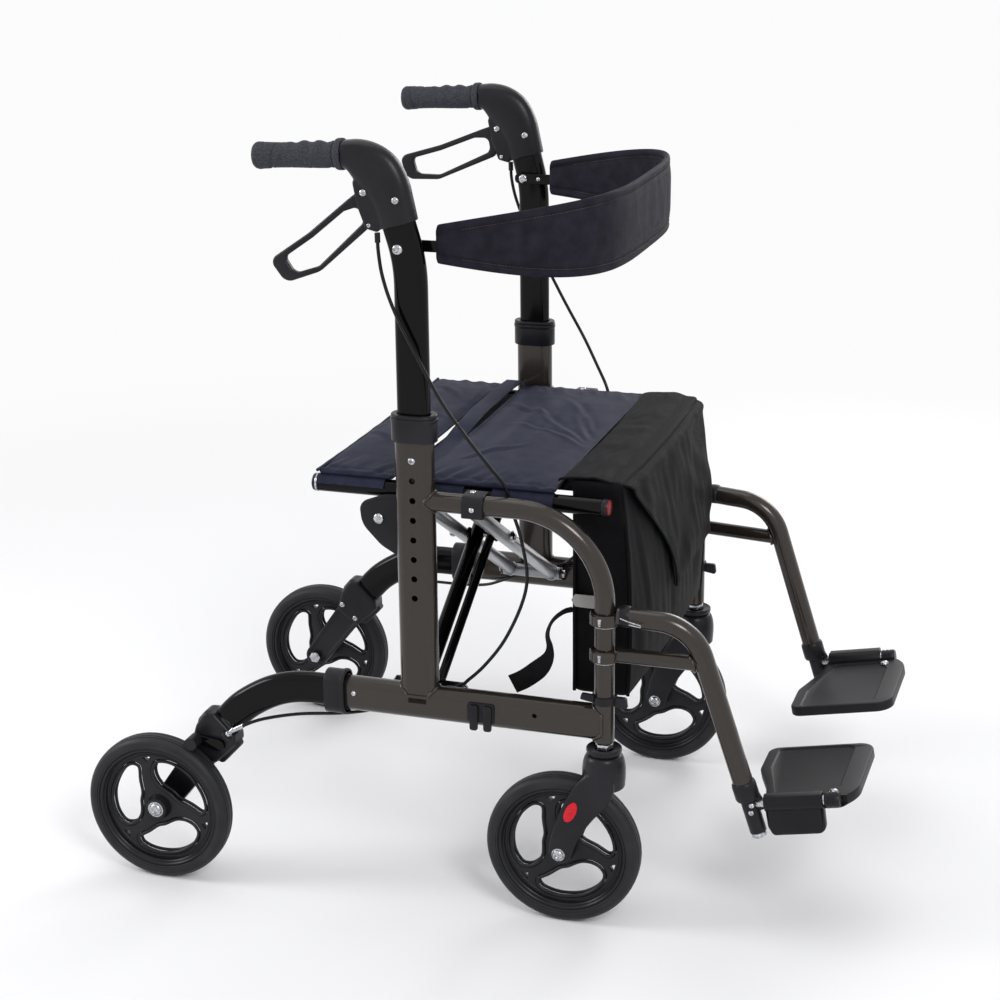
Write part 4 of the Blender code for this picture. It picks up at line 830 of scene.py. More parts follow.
def slotted_bolt(name, at, axis, radius, tall):
    """Domed bolt head with a straight slot across it."""
    head = turned(name, [(0, tall), (radius * 0.45, tall * 0.96), (radius * 0.78, tall * 0.75),
                         (radius * 0.96, tall * 0.4), (radius, 0), (0, -0.0004)],
                  towards(at, axis), 40)
    axis = Vector(axis).normalized()
    tip = Vector(at) + axis * tall
    slot = plate("slot", oblong(radius * 0.75, 0.0006, 0.0002, 2), tall, "Z", (0, 0, 0), (), 0.0001)
    slot.data.transform(towards(tip, axis) @ Matrix.Rotation(0.5, 4, "Z"))
    return cut(head, slot)


def lower_rail(side, s):
    """Oval lower rail, its black sleeve, rivet, and the ears and pins of the brace."""
    body = side + "_frame"
    y = s * FRAME_Y
    outer = s * (FRAME_Y + RAIL_WIDE / 2)
    x0 = RAIL_REAR_X - 0.006
    rail = plate("Lower_rail_" + side, upright(oval(RAIL_HIGH, RAIL_WIDE, 24)), CASTER_X - x0, "X",
                 ((x0 + CASTER_X) / 2, y, RAIL_Z), (), 0.0002)
    fish = bar("fish", (CASTER_X, y, 0.2), (CASTER_X, y, 0.35), TUBE_R - 0.0006, 0.0002, 40)
    socket = plate("socket", upright(oval(LEG_LONG, LEG_WIDE, 16, RUN)), 0.06, "X", (x0, y, RAIL_Z),
                   (), 0.0002)
    hole = bar("hole", (0.154, y + s * 0.004, RAIL_Z + 0.003), (0.154, outer + s * 0.01, RAIL_Z + 0.003),
               0.0032, 0.0002, 24)
    place(cut(rail, fish, socket, hole), body, BRONZE, "lower_rail_" + side)
    sleeve_x = RAIL_REAR_X - SLEEVE_LONG / 2
    ring = plate("Leg_sleeve_" + side, upright(oval(SLEEVE_HIGH, SLEEVE_WIDE, 24)), SLEEVE_LONG, "X",
                 (sleeve_x, y, RAIL_Z), [upright(oval(LEG_LONG, LEG_WIDE, 24, RUN))], 0.0016)
    lip = plate("lip", upright(oval(SLEEVE_HIGH, SLEEVE_WIDE, 24, 0.0012)), 0.006, "X",
                (sleeve_x + SLEEVE_LONG / 2 - 0.003, y, RAIL_Z), [upright(oval(RAIL_HIGH, RAIL_WIDE, 24))],
                0.001)
    place(combined("Leg_sleeve_" + side, ring, lip), body, PLASTIC)
    place(bolt("Sleeve_rivet_" + side, (-0.086, outer - s * 0.0004, RAIL_Z + 0.004), (0, s, 0),
               0.0036, 0.0022, False), body, STEEL)
    root = s * (FRAME_Y - RAIL_WIDE / 2 + 0.002)
    for tag, x in (("rear", ARM_SLEEVE_X[0] - GAP - 0.0015), ("front", ARM_SLEEVE_X[1] + GAP + 0.0015)):
        ear = plate("Brace_ear_%s_%s" % (tag, side),
                    capsule((root, BRACE_Z - 0.006), (s * BRACE_Y, BRACE_Z), 0.01, 0.009, 20), 0.003,
                    "X", (x, 0, 0), (), 0.0006)
        place(ear, body, BRONZE)
    for tag, x, way in (("rear", ARM_SLEEVE_X[0] - 0.0033, -1), ("front", ARM_SLEEVE_X[1] + 0.0033, 1)):
        place(bolt("Brace_pin_%s_%s" % (tag, side), (x, s * BRACE_Y, BRACE_Z), (way, 0, 0), 0.0058,
                   0.0036), body, STEEL)
    bead = []
    for v, u in upright(oval(RAIL_HIGH, RAIL_WIDE, 16, 0.0002)):
        bead.append((CASTER_X - sqrt(max(0.0, TUBE_R ** 2 - v * v)) - 0.0004, y + v, RAIL_Z + u))
    place(weld("Weld_rail_end_" + side, bead, 0.0023), body, BRONZE)


def front_frame(side, s):
    """Round upper rail bent down into the front post, with its weld to the main post."""
    body = side + "_frame"
    y = s * FRAME_Y
    path = bend([(0.008, y, UPPER_Z), (CASTER_X, y, UPPER_Z), (CASTER_X, y, FRONT_POST_Z)],
                UPPER_BEND_R, 40)
    pipe = tube("Front_frame_" + side, path, TUBE_R, 10)
    mouth = plate("mouth", oval(POST_LONG, POST_WIDE, 24, -0.0006), 0.1, "Z", (0, y, UPPER_Z), (),
                  0.0002)
    clear = plate("clear", oval(0.06, 0.03, 8), 0.1, "Z", (-0.0305, y, UPPER_Z), (), 0.0002)
    place(cut(pipe, mouth, clear), body, BRONZE, "front_frame_" + side)
    bead = []
    for k in range(36):
        a = 2 * pi * k / 36
        across = (TUBE_R + 0.0001) * cos(a)
        bead.append((0.012 + sqrt(0.013 ** 2 - across ** 2), y + across,
                     UPPER_Z + (TUBE_R + 0.0003) * sin(a)))
    place(weld("Weld_upper_rail_" + side, bead), body, BRONZE)


def post_collar(side, s):
    """Collar on the post's top, with a thin light lip."""
    body = side + "_frame"
    y = s * FRAME_Y
    low = POST_TOP - COLLAR_OVER
    inside = oval(HANDLE_LONG, HANDLE_WIDE, 24, RUN)
    over = oval(POST_LONG, POST_WIDE, 24, GAP)
    skirt = plate("Post_collar_" + side, oval(POST_LONG, POST_WIDE, 24, 0.004), COLLAR_OVER, "Z",
                  (0, y, low + COLLAR_OVER / 2), [over], 0.001)
    cap = plate("cap", oval(POST_LONG, POST_WIDE, 24, 0.004), COLLAR_TALL - COLLAR_OVER, "Z",
                (0, y, low + (COLLAR_TALL + COLLAR_OVER) / 2 + GAP / 2), [inside], 0.0014)
    band = plate("band", oval(POST_LONG, POST_WIDE, 24, 0.0047), 0.005, "Z",
                 (0, y, low + COLLAR_OVER - 0.002), [over], 0.001)
    place(combined("Post_collar_" + side, skirt, cap, band), body, HOUSING,
          "post_collar_" + side)


def rail_clip(side, s):
    """Cradle over the side rail, with the seat rail lying in it, and its screw."""
    body = side + "_frame"
    x0, x1 = 0.063, 0.09
    out_y = FRAME_Y + TUBE_R + 0.003
    in_y = BRACE_Y - SEAT_RAIL_R - 0.0035
    top = UPPER_Z + TUBE_R + 0.003
    mid = (x0 + x1) / 2
    outline = rounded([(s * out_y, UPPER_Z - 0.014, 0.003), (s * out_y, top - 0.002, 0.01),
                       (s * (BRACE_Y + SEAT_RAIL_R + 0.004), top, 0.006),
                       (s * (BRACE_Y + SEAT_RAIL_R + GAP), SEAT_RAIL_Z, 0.0015),
                       (s * in_y, SEAT_RAIL_Z, 0.0015), (s * in_y, UPPER_Z - 0.014, 0.005)][::s], 8)
    block = plate("Rail_clip_" + side, outline, x1 - x0, "X", (mid, 0, 0), (), 0.0008)
    ring = bar("ring", (x0 - 0.01, s * FRAME_Y, UPPER_Z), (x1 + 0.01, s * FRAME_Y, UPPER_Z),
               TUBE_R + GAP, 0.0002, 40)
    cradle = bar("cradle", (x0 - 0.01, s * BRACE_Y, SEAT_RAIL_Z), (x1 + 0.01, s * BRACE_Y, SEAT_RAIL_Z),
                 SEAT_RAIL_R + GAP, 0.0002, 40)
    place(cut(block, ring, cradle), body, PLASTIC, "rail_clip_" + side)
    place(bolt("Clip_screw_" + side, (0.0725, s * (FRAME_Y - 0.004), top - 0.0008), (0, 0, 1), 0.0042,
               0.002), body, STEEL)
    place(bolt("Clip_side_screw_" + side, (mid, s * (out_y - 0.0006), UPPER_Z - 0.002), (0, s, 0),
               0.0034, 0.0016), body, STEEL)


# Rear legs, shanks and brakes

def leg_spine(s):
    """Middle of the bent leg, splayed outward from the bend down to the shank."""
    spine = [(-0.102, 0.2765), (-0.126, 0.2765), (-0.15, 0.2765), (-0.175, 0.274),
             (-0.2, 0.2665), (-0.224, 0.254), (-0.245, 0.239), (-0.262, 0.2215),
             (-0.278, 0.202), (-0.294, 0.182)]
    points = []
    for x, z in spine:
        t = max(0.0, (-0.15 - x) / 0.144)
        points.append((x, s * (FRAME_Y + (LEG_SPLAY_Y - FRAME_Y) * t), z))
    return smooth_line(points, 0.005)


def rear_leg(side, s):
    """Bent oval leg from the lower rail's sleeve into the shank's clamp."""
    def across(along):
        flat = Vector((along.x, 0, along.z)).normalized()
        return Vector((-flat.z, 0, flat.x)), Vector((0, 1, 0))
    leg = swept("Rear_leg_" + side, leg_spine(s), oval(LEG_LONG, LEG_WIDE, 16), across)
    place(leg, side + "_frame", BLACK_PAINT, "rear_leg_" + side)


def shank_point(u, v):
    """Point on the shank's side view: u along it from the clamp, away from the axle, v across."""
    low, top = Vector((REAR_AXLE_X, WHEEL_R)), Vector(SHANK_TOP)
    axis = (top - low).normalized()
    p = top + axis * u + Vector((-axis.y, axis.x)) * v
    return (p.x, p.y)


def rear_shank(side, s):
    """Moulded shank: bordered blade down to the axle, clamp housing with lobes and a fin."""
    body = side + "_frame"
    y = s * LEG_SPLAY_Y
    low, top = (REAR_AXLE_X, WHEEL_R), SHANK_TOP
    blade = plate("blade", capsule(top, low, 0.0205, 0.0155, 24), 0.016, "Y", (0, y, 0), (), 0.0015)
    rim = capsule(top, low, 0.022, 0.017, 24)
    core = capsule(top, low, 0.0165, 0.0115, 24)
    border = plate("border", rim, 0.02, "Y", (0, y, 0), [core], 0.0022)
    def corner(u, v, r):
        return (*shank_point(u, v), r)
    body_outline = rounded([corner(-0.04, -0.022, 0.006), corner(0.004, -0.029, 0.007),
                            corner(0.014, -0.02, 0.003), corner(0.02, 0.019, 0.004),
                            corner(0.012, 0.03, 0.007), corner(-0.012, 0.029, 0.006),
                            corner(-0.04, 0.019, 0.006)], 10)
    clamp = plate("clamp", body_outline, 0.034, "Y", (0, y, 0), (), 0.005)
    lobe = plate("lobe", rounded([corner(-0.03, 0.014, 0.004), corner(-0.006, 0.032, 0.01),
                                  corner(0.014, 0.031, 0.008), corner(0.02, 0.016, 0.004)], 10),
                 0.026, "Y", (0, y, 0), (), 0.004)
    fin = plate("fin", rounded([corner(-0.036, -0.02, 0.004), corner(-0.034, -0.03, 0.006),
                                corner(0.004, -0.034, 0.004), corner(0.01, -0.018, 0.006)], 10),
                0.018, "Y", (0, s * (LEG_SPLAY_Y + 0.002), 0), (), 0.003)
    boss = bar("boss", (REAR_AXLE_X, y, WHEEL_R),
               (REAR_AXLE_X, s * (REAR_WHEEL_Y - 0.015 - GAP), WHEEL_R), 0.0115, 0.001, 40)
    shell = moulding(combined("Rear_shank_" + side, blade, border, clamp, lobe, fin, boss), 0.0011, 5)
    room = bar("room", (REAR_AXLE_X, s * (REAR_WHEEL_Y - TYRE_WIDE / 2 - 0.0012), WHEEL_R),
               (REAR_AXLE_X, s * (REAR_WHEEL_Y + 0.05), WHEEL_R), WHEEL_R + 0.004, 0.0002, 96)
    keep = bar("keep", (REAR_AXLE_X, y, WHEEL_R),
               (REAR_AXLE_X, s * (REAR_WHEEL_Y + 0.06), WHEEL_R), 0.02, 0.0002, 48)
    room = cut(room, keep)
    place(cut(shell, room), body, HOUSING, "rear_shank_" + side)
    adjuster = bar("Cable_adjuster_" + side, (-0.26, s * 0.2765, 0.206), (-0.2485, s * 0.2765, 0.2165),
                   0.0032, 0.0008, 24)
    nut = hex_nut("nut", (-0.2585, s * 0.2765, 0.2074), (0.0115, 0, 0.0105), 0.0048, 0.0035)
    place(combined("Cable_adjuster_" + side, adjuster, nut), body, STEEL)
    seat = bar("Adjuster_seat_" + side, (-0.264, s * 0.2745, 0.202), (-0.259, s * 0.2765, 0.2068),
               0.0068, 0.0012, 24)
    place(seat, body, HOUSING)
    for k, (u, v) in enumerate(((-0.03, -0.012), (-0.026, 0.016))):
        px, pz = shank_point(u, v)
        place(bolt("Clamp_screw_%d_%s" % (k, side), (px, s * (LEG_SPLAY_Y - 0.017), pz), (0, -s, 0),
                   0.0042, 0.0022), body, STEEL)


def rear_axle(side, s):
    """Axle bolt with its washer and the nut inside the shank."""
    body = side + "_frame"
    out = REAR_WHEEL_Y + 0.015 + GAP
    inner = LEG_SPLAY_Y - 0.01
    head = bolt("Rear_axle_" + side, (REAR_AXLE_X, s * out, WHEEL_R), (0, s, 0), 0.0088, 0.0046,
                washer=0.0108)
    shaft = bar("shaft", (REAR_AXLE_X, s * (inner - 0.006), WHEEL_R), (REAR_AXLE_X, s * out, WHEEL_R),
                0.005, 0.0006, 24)
    nut = hex_nut("nut", (REAR_AXLE_X, s * (inner - GAP), WHEEL_R), (0, -s, 0), 0.009, 0.0062)
    place(combined("Rear_axle_" + side, head, shaft, nut), body, STEEL, "rear_axle_" + side)


def brake_shoe(side, s):
    """Brake roller on its short arm, with a knurled face."""
    clear = 0.0005 if side == "right" else 0.0045
    turn = radians(62)
    reach = WHEEL_R + 0.0085 + clear
    at = (REAR_AXLE_X + reach * cos(turn), WHEEL_R + reach * sin(turn))
    y = s * (LEG_SPLAY_Y + 0.017 + GAP + 0.0025)
    arm = plate("Brake_shoe_" + side, capsule((-0.272, 0.19), at, 0.008, 0.006, 20), 0.005, "Y",
                (0, y, 0), (), 0.001)
    place(arm, "brake_" + side, BLACK_PAINT, "brake_shoe_" + side)
    y0, y1 = SHOE_INNER_Y, REAR_WHEEL_Y + 0.008
    profile = [(0, 0)]
    for k in range(12):
        h = (y1 - y0) * k / 11
        profile.append((0.0085 if k % 2 else 0.0078, h))
    profile.append((0, y1 - y0))
    roll = turned("Brake_roller_" + side, profile, towards((at[0], s * y0, at[1]), (0, s, 0)), 40)
    place(roll, "brake_" + side, PLASTIC)


# Wheels

def polar(radius, angle):
    """Point at a radius and an angle in degrees."""
    return (radius * cos(radians(angle)), radius * sin(radians(angle)))


def wheel_opening(turn, shrink=0.0):
    """Outline of one teardrop opening, drawn in towards its middle by shrink."""
    shape = ((0, 0.6), (9, 0.42), (26, 0.27), (52, 0.235), (80, 0.235), (99, 0.29), (107, 0.41),
             (105, 0.55), (96, 0.66), (78, 0.7), (55, 0.705), (30, 0.705), (10, 0.7))
    ring = [Vector(p) for p in smooth_ring([polar(r * WHEEL_R, turn + a) for a, r in shape], 5)]
    outline = []
    for i, here in enumerate(ring):
        along = (ring[(i + 1) % len(ring)] - ring[i - 1]).normalized()
        outline.append(tuple(here + Vector((-along.y, along.x)) * shrink))
    return outline


def wheel_eyelet(turn):
    """Outline of the small three-cornered opening beside a spoke's root."""
    shape = ((-11, 0.632), (-16.0, 0.7), (-6.0, 0.7))
    corners = [(*polar(r * WHEEL_R, turn + a), 0.0006) for a, r in shape]
    return rounded(corners, 5)


def wheel_lay(x, y):
    """Placement of a wheel's turned pieces: their axis along Y, at the wheel's height."""
    return Matrix.Translation((x, y, WHEEL_R)) @ Matrix.Rotation(radians(-90), 4, "X")


def wheel(node, x, y):
    """Moulded wheel: stepped rim, swept spokes with raised borders, a raised ring on each face, and a hub.
    """
    turns = (-126, -6, 114)
    lay = wheel_lay(x, y)
    rim_out = WHEEL_R - TYRE_DEEP - GAP
    rim = turned("rim", [
        (rim_out, -0.012), (rim_out - 0.001, -0.0126), (rim_out - 0.0026, -0.0126),
        (rim_out - 0.0042, -0.0112), (rim_out - 0.0046, -0.0092), (rim_out - 0.0062, -0.0078),
        (rim_out - 0.0064, 0.0078), (rim_out - 0.0046, 0.0092), (rim_out - 0.0042, 0.0112),
        (rim_out - 0.0026, 0.0126), (rim_out - 0.001, 0.0126), (rim_out, 0.012)], lay, 128, True)
    web = plate("web", arc((0, 0), rim_out - 0.003, 0, 357, 119), 0.01, "Y", (x, y, WHEEL_R),
                [wheel_opening(t) for t in turns] + [wheel_eyelet(t) for t in turns], 0.0014)
    pieces = [rim, web]
    for t in turns:
        for face in (-1, 1):
            ring = [(x + u, y + face * 0.0047, WHEEL_R + v) for u, v in wheel_opening(t, -0.0024)]
            pieces.append(tube("lip", ring, 0.0022, 3, True))
    for face in (-1, 1):
        groove = arc((x, WHEEL_R), 0.0726, 0, 357, 119)
        pieces.append(tube("step", [(u, y + face * 0.0044, v) for u, v in groove], 0.0014, 3, True))
    hub = turned("hub", [
        (0.0054, -0.015), (0.0125, -0.015), (0.0138, -0.0142), (0.015, -0.01), (0.017, -0.0055),
        (0.0172, 0.0055), (0.015, 0.01), (0.0138, 0.0142), (0.0125, 0.015), (0.0054, 0.015)],
        lay, 64, True)
    pieces.append(hub)
    place(combined(node.title() + "_moulding", *pieces), node, WHEEL, node)


def tyre(node, body, x, y):
    """Tyre with four ribs round its tread, rounded shoulders and a bead line."""
    half = TYRE_WIDE / 2
    inner = WHEEL_R - TYRE_DEEP
    profile = [(inner, -half + 0.003), (inner + 0.001, -half + 0.0018), (inner + 0.0025, -half + 0.0016),
               (inner + 0.003, -half + 0.0006), (inner + 0.0055, -half + 0.0001),
               (WHEEL_R - 0.008, -half), (WHEEL_R - 0.005, -half + 0.0012),
               (WHEEL_R - 0.0024, -half + 0.0034)]
    crown = [(-0.0098, 0.0014), (-0.0086, 0.0007), (-0.008, 0.0018), (-0.0072, 0.0018),
             (-0.0066, 0.0003), (-0.0044, 0.0001), (-0.0038, 0.0014), (-0.003, 0.0014),
             (-0.0024, 0.0), (0.0024, 0.0), (0.003, 0.0014), (0.0038, 0.0014), (0.0044, 0.0001),
             (0.0066, 0.0003), (0.0072, 0.0018), (0.008, 0.0018), (0.0086, 0.0007), (0.0098, 0.0014)]
    profile += [(WHEEL_R - drop, h) for h, drop in crown]
    profile += [(r, -h) for r, h in profile[:8]][::-1]
    made = turned(node.title() + "_rubber", profile, wheel_lay(x, y), 144, True)
    place(made, body, TYRE, node)


def wheel_and_tyre(kind, side, x, y):
    """One rear or caster wheel with its tyre."""
    body = "%s_wheel_%s" % (kind, side)
    wheel(body, x, y)
    tyre("%s_tyre_%s" % (kind, side), body, x, y)


def caster(side, s):
    """Bearing cup and nut on the frame; domed fork, reflector and axle on the caster."""
    y = s * FRAME_Y
    at = (CASTER_X, y, 0)
    cup = turned("Caster_cup_" + side, [
        (0.0125, 0.242), (0.018, 0.2428), (0.0212, 0.2438), (0.0222, 0.2428), (0.0224, 0.2398),
        (0.0215, 0.2372), (0.02, 0.2356), (0.0075, 0.2356), (0.0075, 0.24), (0.0125, 0.2402)],
        Matrix.Translation(at), 64, True)
    place(cup, side + "_frame", HOUSING, "caster_bearing_" + side)
    nut = hex_nut("Caster_nut_" + side, (CASTER_X, y, 0.2395), (0, 0, 1), 0.0118, 0.01)
    place(nut, side + "_frame", STEEL)
    top = FORK_TOP
    shell = [(0, top), (0.019, top), (0.0215, top - 0.0008), (0.024, top - 0.004),
             (0.0262, top - 0.011), (0.0272, top - 0.019), (0.0272, top - 0.029),
             (0.0262, top - 0.044), (0, top - 0.046)]
    crown = turned("crown", shell, Matrix.Translation(at), 64)
    axle = (CASTER_X - CASTER_TRAIL, WHEEL_R)
    blade = smooth_ring([(axle[0] + u, axle[1] + v) for u, v in (
        (-0.0125, -0.002), (-0.01, 0.022), (-0.0035, 0.045), (0.0075, 0.073), (0.022, 0.098),
        (0.038, 0.113), (0.056, 0.115), (0.0695, 0.106), (0.069, 0.088), (0.0575, 0.069),
        (0.042, 0.05), (0.029, 0.03), (0.021, 0.012), (0.014, -0.006), (0.001, -0.0132))], 6)
    legs = []
    for shift in (1, -1):
        legs.append(plate("leg", blade, 0.0072, "Y", (0, y + shift * 0.0224, 0), (), 0.0022))
    room = bar("room", (axle[0], y - TYRE_WIDE / 2 - 0.0034, WHEEL_R),
               (axle[0], y + TYRE_WIDE / 2 + 0.0034, WHEEL_R), WHEEL_R + 0.0055, 0.002, 96)
    fork = moulding(combined("Caster_fork_" + side, crown, *legs), 0.0011, 12)
    place(cut(fork, room), "caster_" + side, HOUSING, "caster_fork_" + side)
    for way in (1, -1):
        face = y + way * 0.026
        place(bolt("Fork_nut_%s_%s" % (HAND[way], side),
                   (axle[0], face - way * 0.0006, WHEEL_R), (0, way, 0), 0.0072, 0.0042, True, 0.0086),
              "caster_" + side, STEEL)
    place(bar("Fork_axle_" + side, (axle[0], y - 0.026, WHEEL_R), (axle[0], y + 0.026, WHEEL_R), 0.0049),
          "caster_" + side, STEEL)
    stem = bar("Fork_stem_" + side, (CASTER_X, y, top - 0.004), (CASTER_X, y, 0.288), 0.0066)
    place(stem, "caster_" + side, STEEL)
    lens_at = Matrix.Translation((0.204, s * (FRAME_Y + 0.0258), 0.161))
    lens_at = lens_at @ Matrix.Rotation(radians(-66), 4, "Y") @ FACING["Y"]
    lens = loft("Reflector_" + side, [
        [lens_at @ Vector((u * grow * 0.015, v * grow * 0.0072, -s * deep))
         for u, v in ((cos(2 * pi * k / 48), sin(2 * pi * k / 48)) for k in range(48))]
        for grow, deep in ((1.0, -0.0008), (1.0, 0.0008), (0.96, 0.0016), (0.8, 0.0022),
                           (0.45, 0.0026), (0.05, 0.0027))], 30)
    place(lens, "caster_" + side, REFLECTOR)


# Handles

def handle_axis(z):
    """Centre of the handle tube at a height, as (x, lean)."""
    if z < HANDLE_BEND_Z:
        return 0.0, 0.0
    rise = z - HANDLE_BEND_Z
    top = HANDLE_BEND_R * sin(HANDLE_LEAN)
    if rise < top:
        lean = np.arcsin(rise / HANDLE_BEND_R)
        return -HANDLE_BEND_R * (1 - cos(lean)), lean
    return (-HANDLE_BEND_R * (1 - cos(HANDLE_LEAN)) - (rise - top) * tan(HANDLE_LEAN), HANDLE_LEAN)


def handle_y(z):
    """Distance of the handle tube from the middle of the chair at a height."""
    rise = max(0, z - HANDLE_STRAIGHT_Z) / (HANDLE_TOP_Z - HANDLE_STRAIGHT_Z)
    return FRAME_Y + (HANDLE_Y - FRAME_Y) * rise


def handle_tube(side, s):
    """Oval handle tube, bent back above the strap."""
    rings = []
    for z in [HANDLE_FOOT_Z, 0.7, HANDLE_STRAIGHT_Z, *np.linspace(HANDLE_BEND_Z, HANDLE_TOP_Z, 20)]:
        x, lean = handle_axis(z)
        along = Vector((cos(lean), 0, sin(lean)))
        rings.append([Vector((x, s * handle_y(z), z)) + along * u + Vector((0, v, 0))
                      for u, v in oval(HANDLE_LONG, HANDLE_WIDE, 18)])
    tube_body = loft("Handle_tube_" + side, rings)
    place(tube_body, "handle_" + side, BLACK_PAINT, "handle_tube_" + side)


def side_ring(inner, outer, y, half_wide, sides=40, square=2.6):
    """Rounded section across a side-view form, between an inner and an outer point."""
    inner, outer = Vector((inner[0], 0, inner[1])), Vector((outer[0], 0, outer[1]))
    middle, reach = (inner + outer) / 2, (outer - inner) / 2
    points = []
    for k in range(sides):
        a = 2 * pi * k / sides
        c = abs(cos(a)) ** (2 / square) * (1 if cos(a) >= 0 else -1)
        d = abs(sin(a)) ** (2 / square) * (1 if sin(a) >= 0 else -1)
        points.append(middle + reach * c + Vector((0, y + half_wide * d, 0)))
    return points


def handle_housing(side, s):
    """Moulded elbow between the oval tube and the grip, with its mount, the lever's slot, and its pins and
    screws.
    """
    body = "handle_" + side
    y = s * HANDLE_Y
    sections = [((-0.034, 0.8782), (0.0115, 0.8904)), ((-0.041, 0.9), (0.0065, 0.914)),
                ((-0.05, 0.915), (0.001, 0.937)), ((-0.058, 0.925), (-0.009, 0.957)),
                ((-0.064, 0.934), (-0.022, 0.97)), ((-0.069, 0.942), (-0.04, 0.979)),
                ((-0.073, 0.947), (-0.06, 0.9825)), ((-0.0769, 0.948), (-0.0786, 0.9808))]
    low = smooth_line([(a[0], 0, a[1]) for a, b in sections], 0.004)
    high = smooth_line([(b[0], 0, b[1]) for a, b in sections], 0.004)
    count = len(low)
    inner, outer = evenly(low, count), evenly(high, count)
    rings = [side_ring((p.x, p.z), (q.x, q.z), y, 0.016 + 0.001 * min(1.0, max(0.0, (t - 0.55) * 4)))
             for p, q, t in zip(inner, outer, np.linspace(0, 1, count))]
    skin = loft("skin", rings)
    x, z = LEVER_PIVOT
    cheeks = plate("cheeks", capsule((x, z), (x + 0.024, z + 0.004), 0.012, 0.014, 20), 0.024, "Y",
                   (0, y, 0), (), 0.003)
    mount = plate("mount", rounded([(-0.066, 0.938, 0.006), (-0.06, 0.906, 0.01),
                                    (-0.05, 0.879, 0.004), (-0.034, 0.875, 0.004),
                                    (-0.026, 0.895, 0.01), (-0.036, 0.94, 0.01)], 8),
                  0.0245, "Y", (0, y, 0), (), 0.0022)
    made = moulding(combined("Handle_housing_" + side, skin, cheeks, mount), 0.001, 6)
    slot = plate("slot", rounded([(x - 0.034, z - 0.06, 0), (x + 0.018, z - 0.052, 0.008),
                                  (x + 0.016, z + 0.02, 0.008), (x - 0.034, z + 0.02, 0)], 10),
                 LEVER_THICK + 2 * RUN, "Y", (0, y, 0), (), 0.0002)
    made = cut(made, slot)
    place(made, body, HOUSING, "handle_housing_" + side)
    for way in (1, -1):
        place(slotted_bolt("Lever_pin_%s_%s" % (HAND[way], side),
                           (x, y + way * 0.0118, z), (0, way, 0), 0.0046, 0.003), body, STEEL)
        place(bolt("Housing_bolt_%s_%s" % (HAND[way], side),
                   (-0.01, y + way * 0.015, 0.915), (0, way, 0), 0.0046, 0.0026), body, STEEL)
        place(bolt("Mount_screw_%s_%s" % (HAND[way], side),
                   (-0.045, y + way * 0.012, 0.8835), (0, way, 0), 0.0026, 0.0014), body, STEEL)
    px = bar("Lever_pivot_" + side, (x, y - 0.0125, z), (x, y + 0.0125, z), 0.0028)
    place(px, body, STEEL)


def grip(side, s):
    """Rubber grip: flange, barrel with finger waves beneath, a palm swell and a wound end band."""
    r, long = GRIP_R, GRIP_LONG
    outline = smooth_line([(r * 1.0, 0, 0.0165), (r * 1.01, 0, 0.024), (r * 1.05, 0, 0.036),
                           (r * 1.04, 0, 0.05), (r * 1.0, 0, 0.066), (r * 0.99, 0, 0.084),
                           (r * 1.03, 0, 0.1), (r * 1.05, 0, long - 0.006)], 0.0012)
    profile = [(0, long - 0.0012), (r * 0.3, long - 0.0012), (r * 0.38, long), (r * 0.72, long),
               (r * 0.92, long - 0.001), (r * 1.02, long - 0.0035)]
    profile += [(p.x, p.z) for p in outline[::-1]]
    profile += [(r * 1.0, 0.014), (r * 1.05, 0.0135), (r * 1.05, 0.011), (r * 1.01, 0.0105),
                (r * 1.03, 0.009), (r * 1.2, 0.008), (r * 1.25, 0.0062), (r * 1.26, 0.002),
                (r * 1.24, 0.0), (0, 0)]
    barrel = turned("Grip_" + side, profile, steps=96, angle=50)
    for vert in barrel.data.vertices:
        h, angle = vert.co.z, atan2(s * vert.co.y, -vert.co.x)
        inside = smoothstep(0.012, 0.022, h) * smoothstep(0.0, 0.004, long - h)
        under, over = max(0.0, -cos(angle)), max(0.0, cos(angle))
        waves = 0.0011 * under * cos(2 * pi * (h - 0.03) / 0.02) * smoothstep(0.075, 0.06, h)
        swell = 0.0012 * over * smoothstep(0.04, 0.02, h)
        wind = h - (long - 0.012 - 0.02 * (angle + pi) / (2 * pi))
        band = -0.0009 * exp(-(wind / 0.001) ** 2) + 0.0005 * smoothstep(0.0, 0.002, wind)
        rough = 0.0003 * noise.noise(vert.co * 260)
        grow = 1 + (waves + swell + band + rough) * inside / r
        vert.co.x *= grow
        vert.co.y *= grow
    start = Matrix.Translation((-0.0778 - GAP, s * HANDLE_Y, 0.9644))
    barrel.data.transform(start @ Matrix.Rotation(radians(-90) - GRIP_TILT, 4, "Y"))
    place(barrel, "handle_" + side, GRIP, "grip_" + side)


def brake_lever(side, s):
    """Loop lever on its pin; the right one is parked, as photographed."""
    y = s * HANDLE_Y
    lean = PARK_ANGLE if side == "right" else 0.0
    def lay(outline):
        return [(u * cos(lean) - v * sin(lean), u * sin(lean) + v * cos(lean)) for u, v in outline]
    outer = rounded([(0.008, 0.009, 0.008), (-0.026, -0.003, 0.014), (-0.088, -0.0275, 0.09),
                     (-0.148, -0.045, 0.01), (-0.137, -0.077, 0.014), (-0.09, -0.0755, 0.024),
                     (-0.007, -0.04, 0.012), (0.009, -0.012, 0.008)], 14)
    hole = rounded([(-0.016, -0.0145, 0.008), (-0.036, -0.015, 0.012), (-0.086, -0.0345, 0.06),
                    (-0.128, -0.047, 0.006), (-0.122, -0.069, 0.01), (-0.089, -0.069, 0.018),
                    (-0.013, -0.033, 0.01)], 14)
    x, z = LEVER_PIVOT
    lever = plate("Brake_lever_" + side, lay(outer), LEVER_THICK, "Y", (x, y, z), [lay(hole)], 0.0026)
    place(lever, "lever_" + side, HOUSING, "brake_lever_" + side)


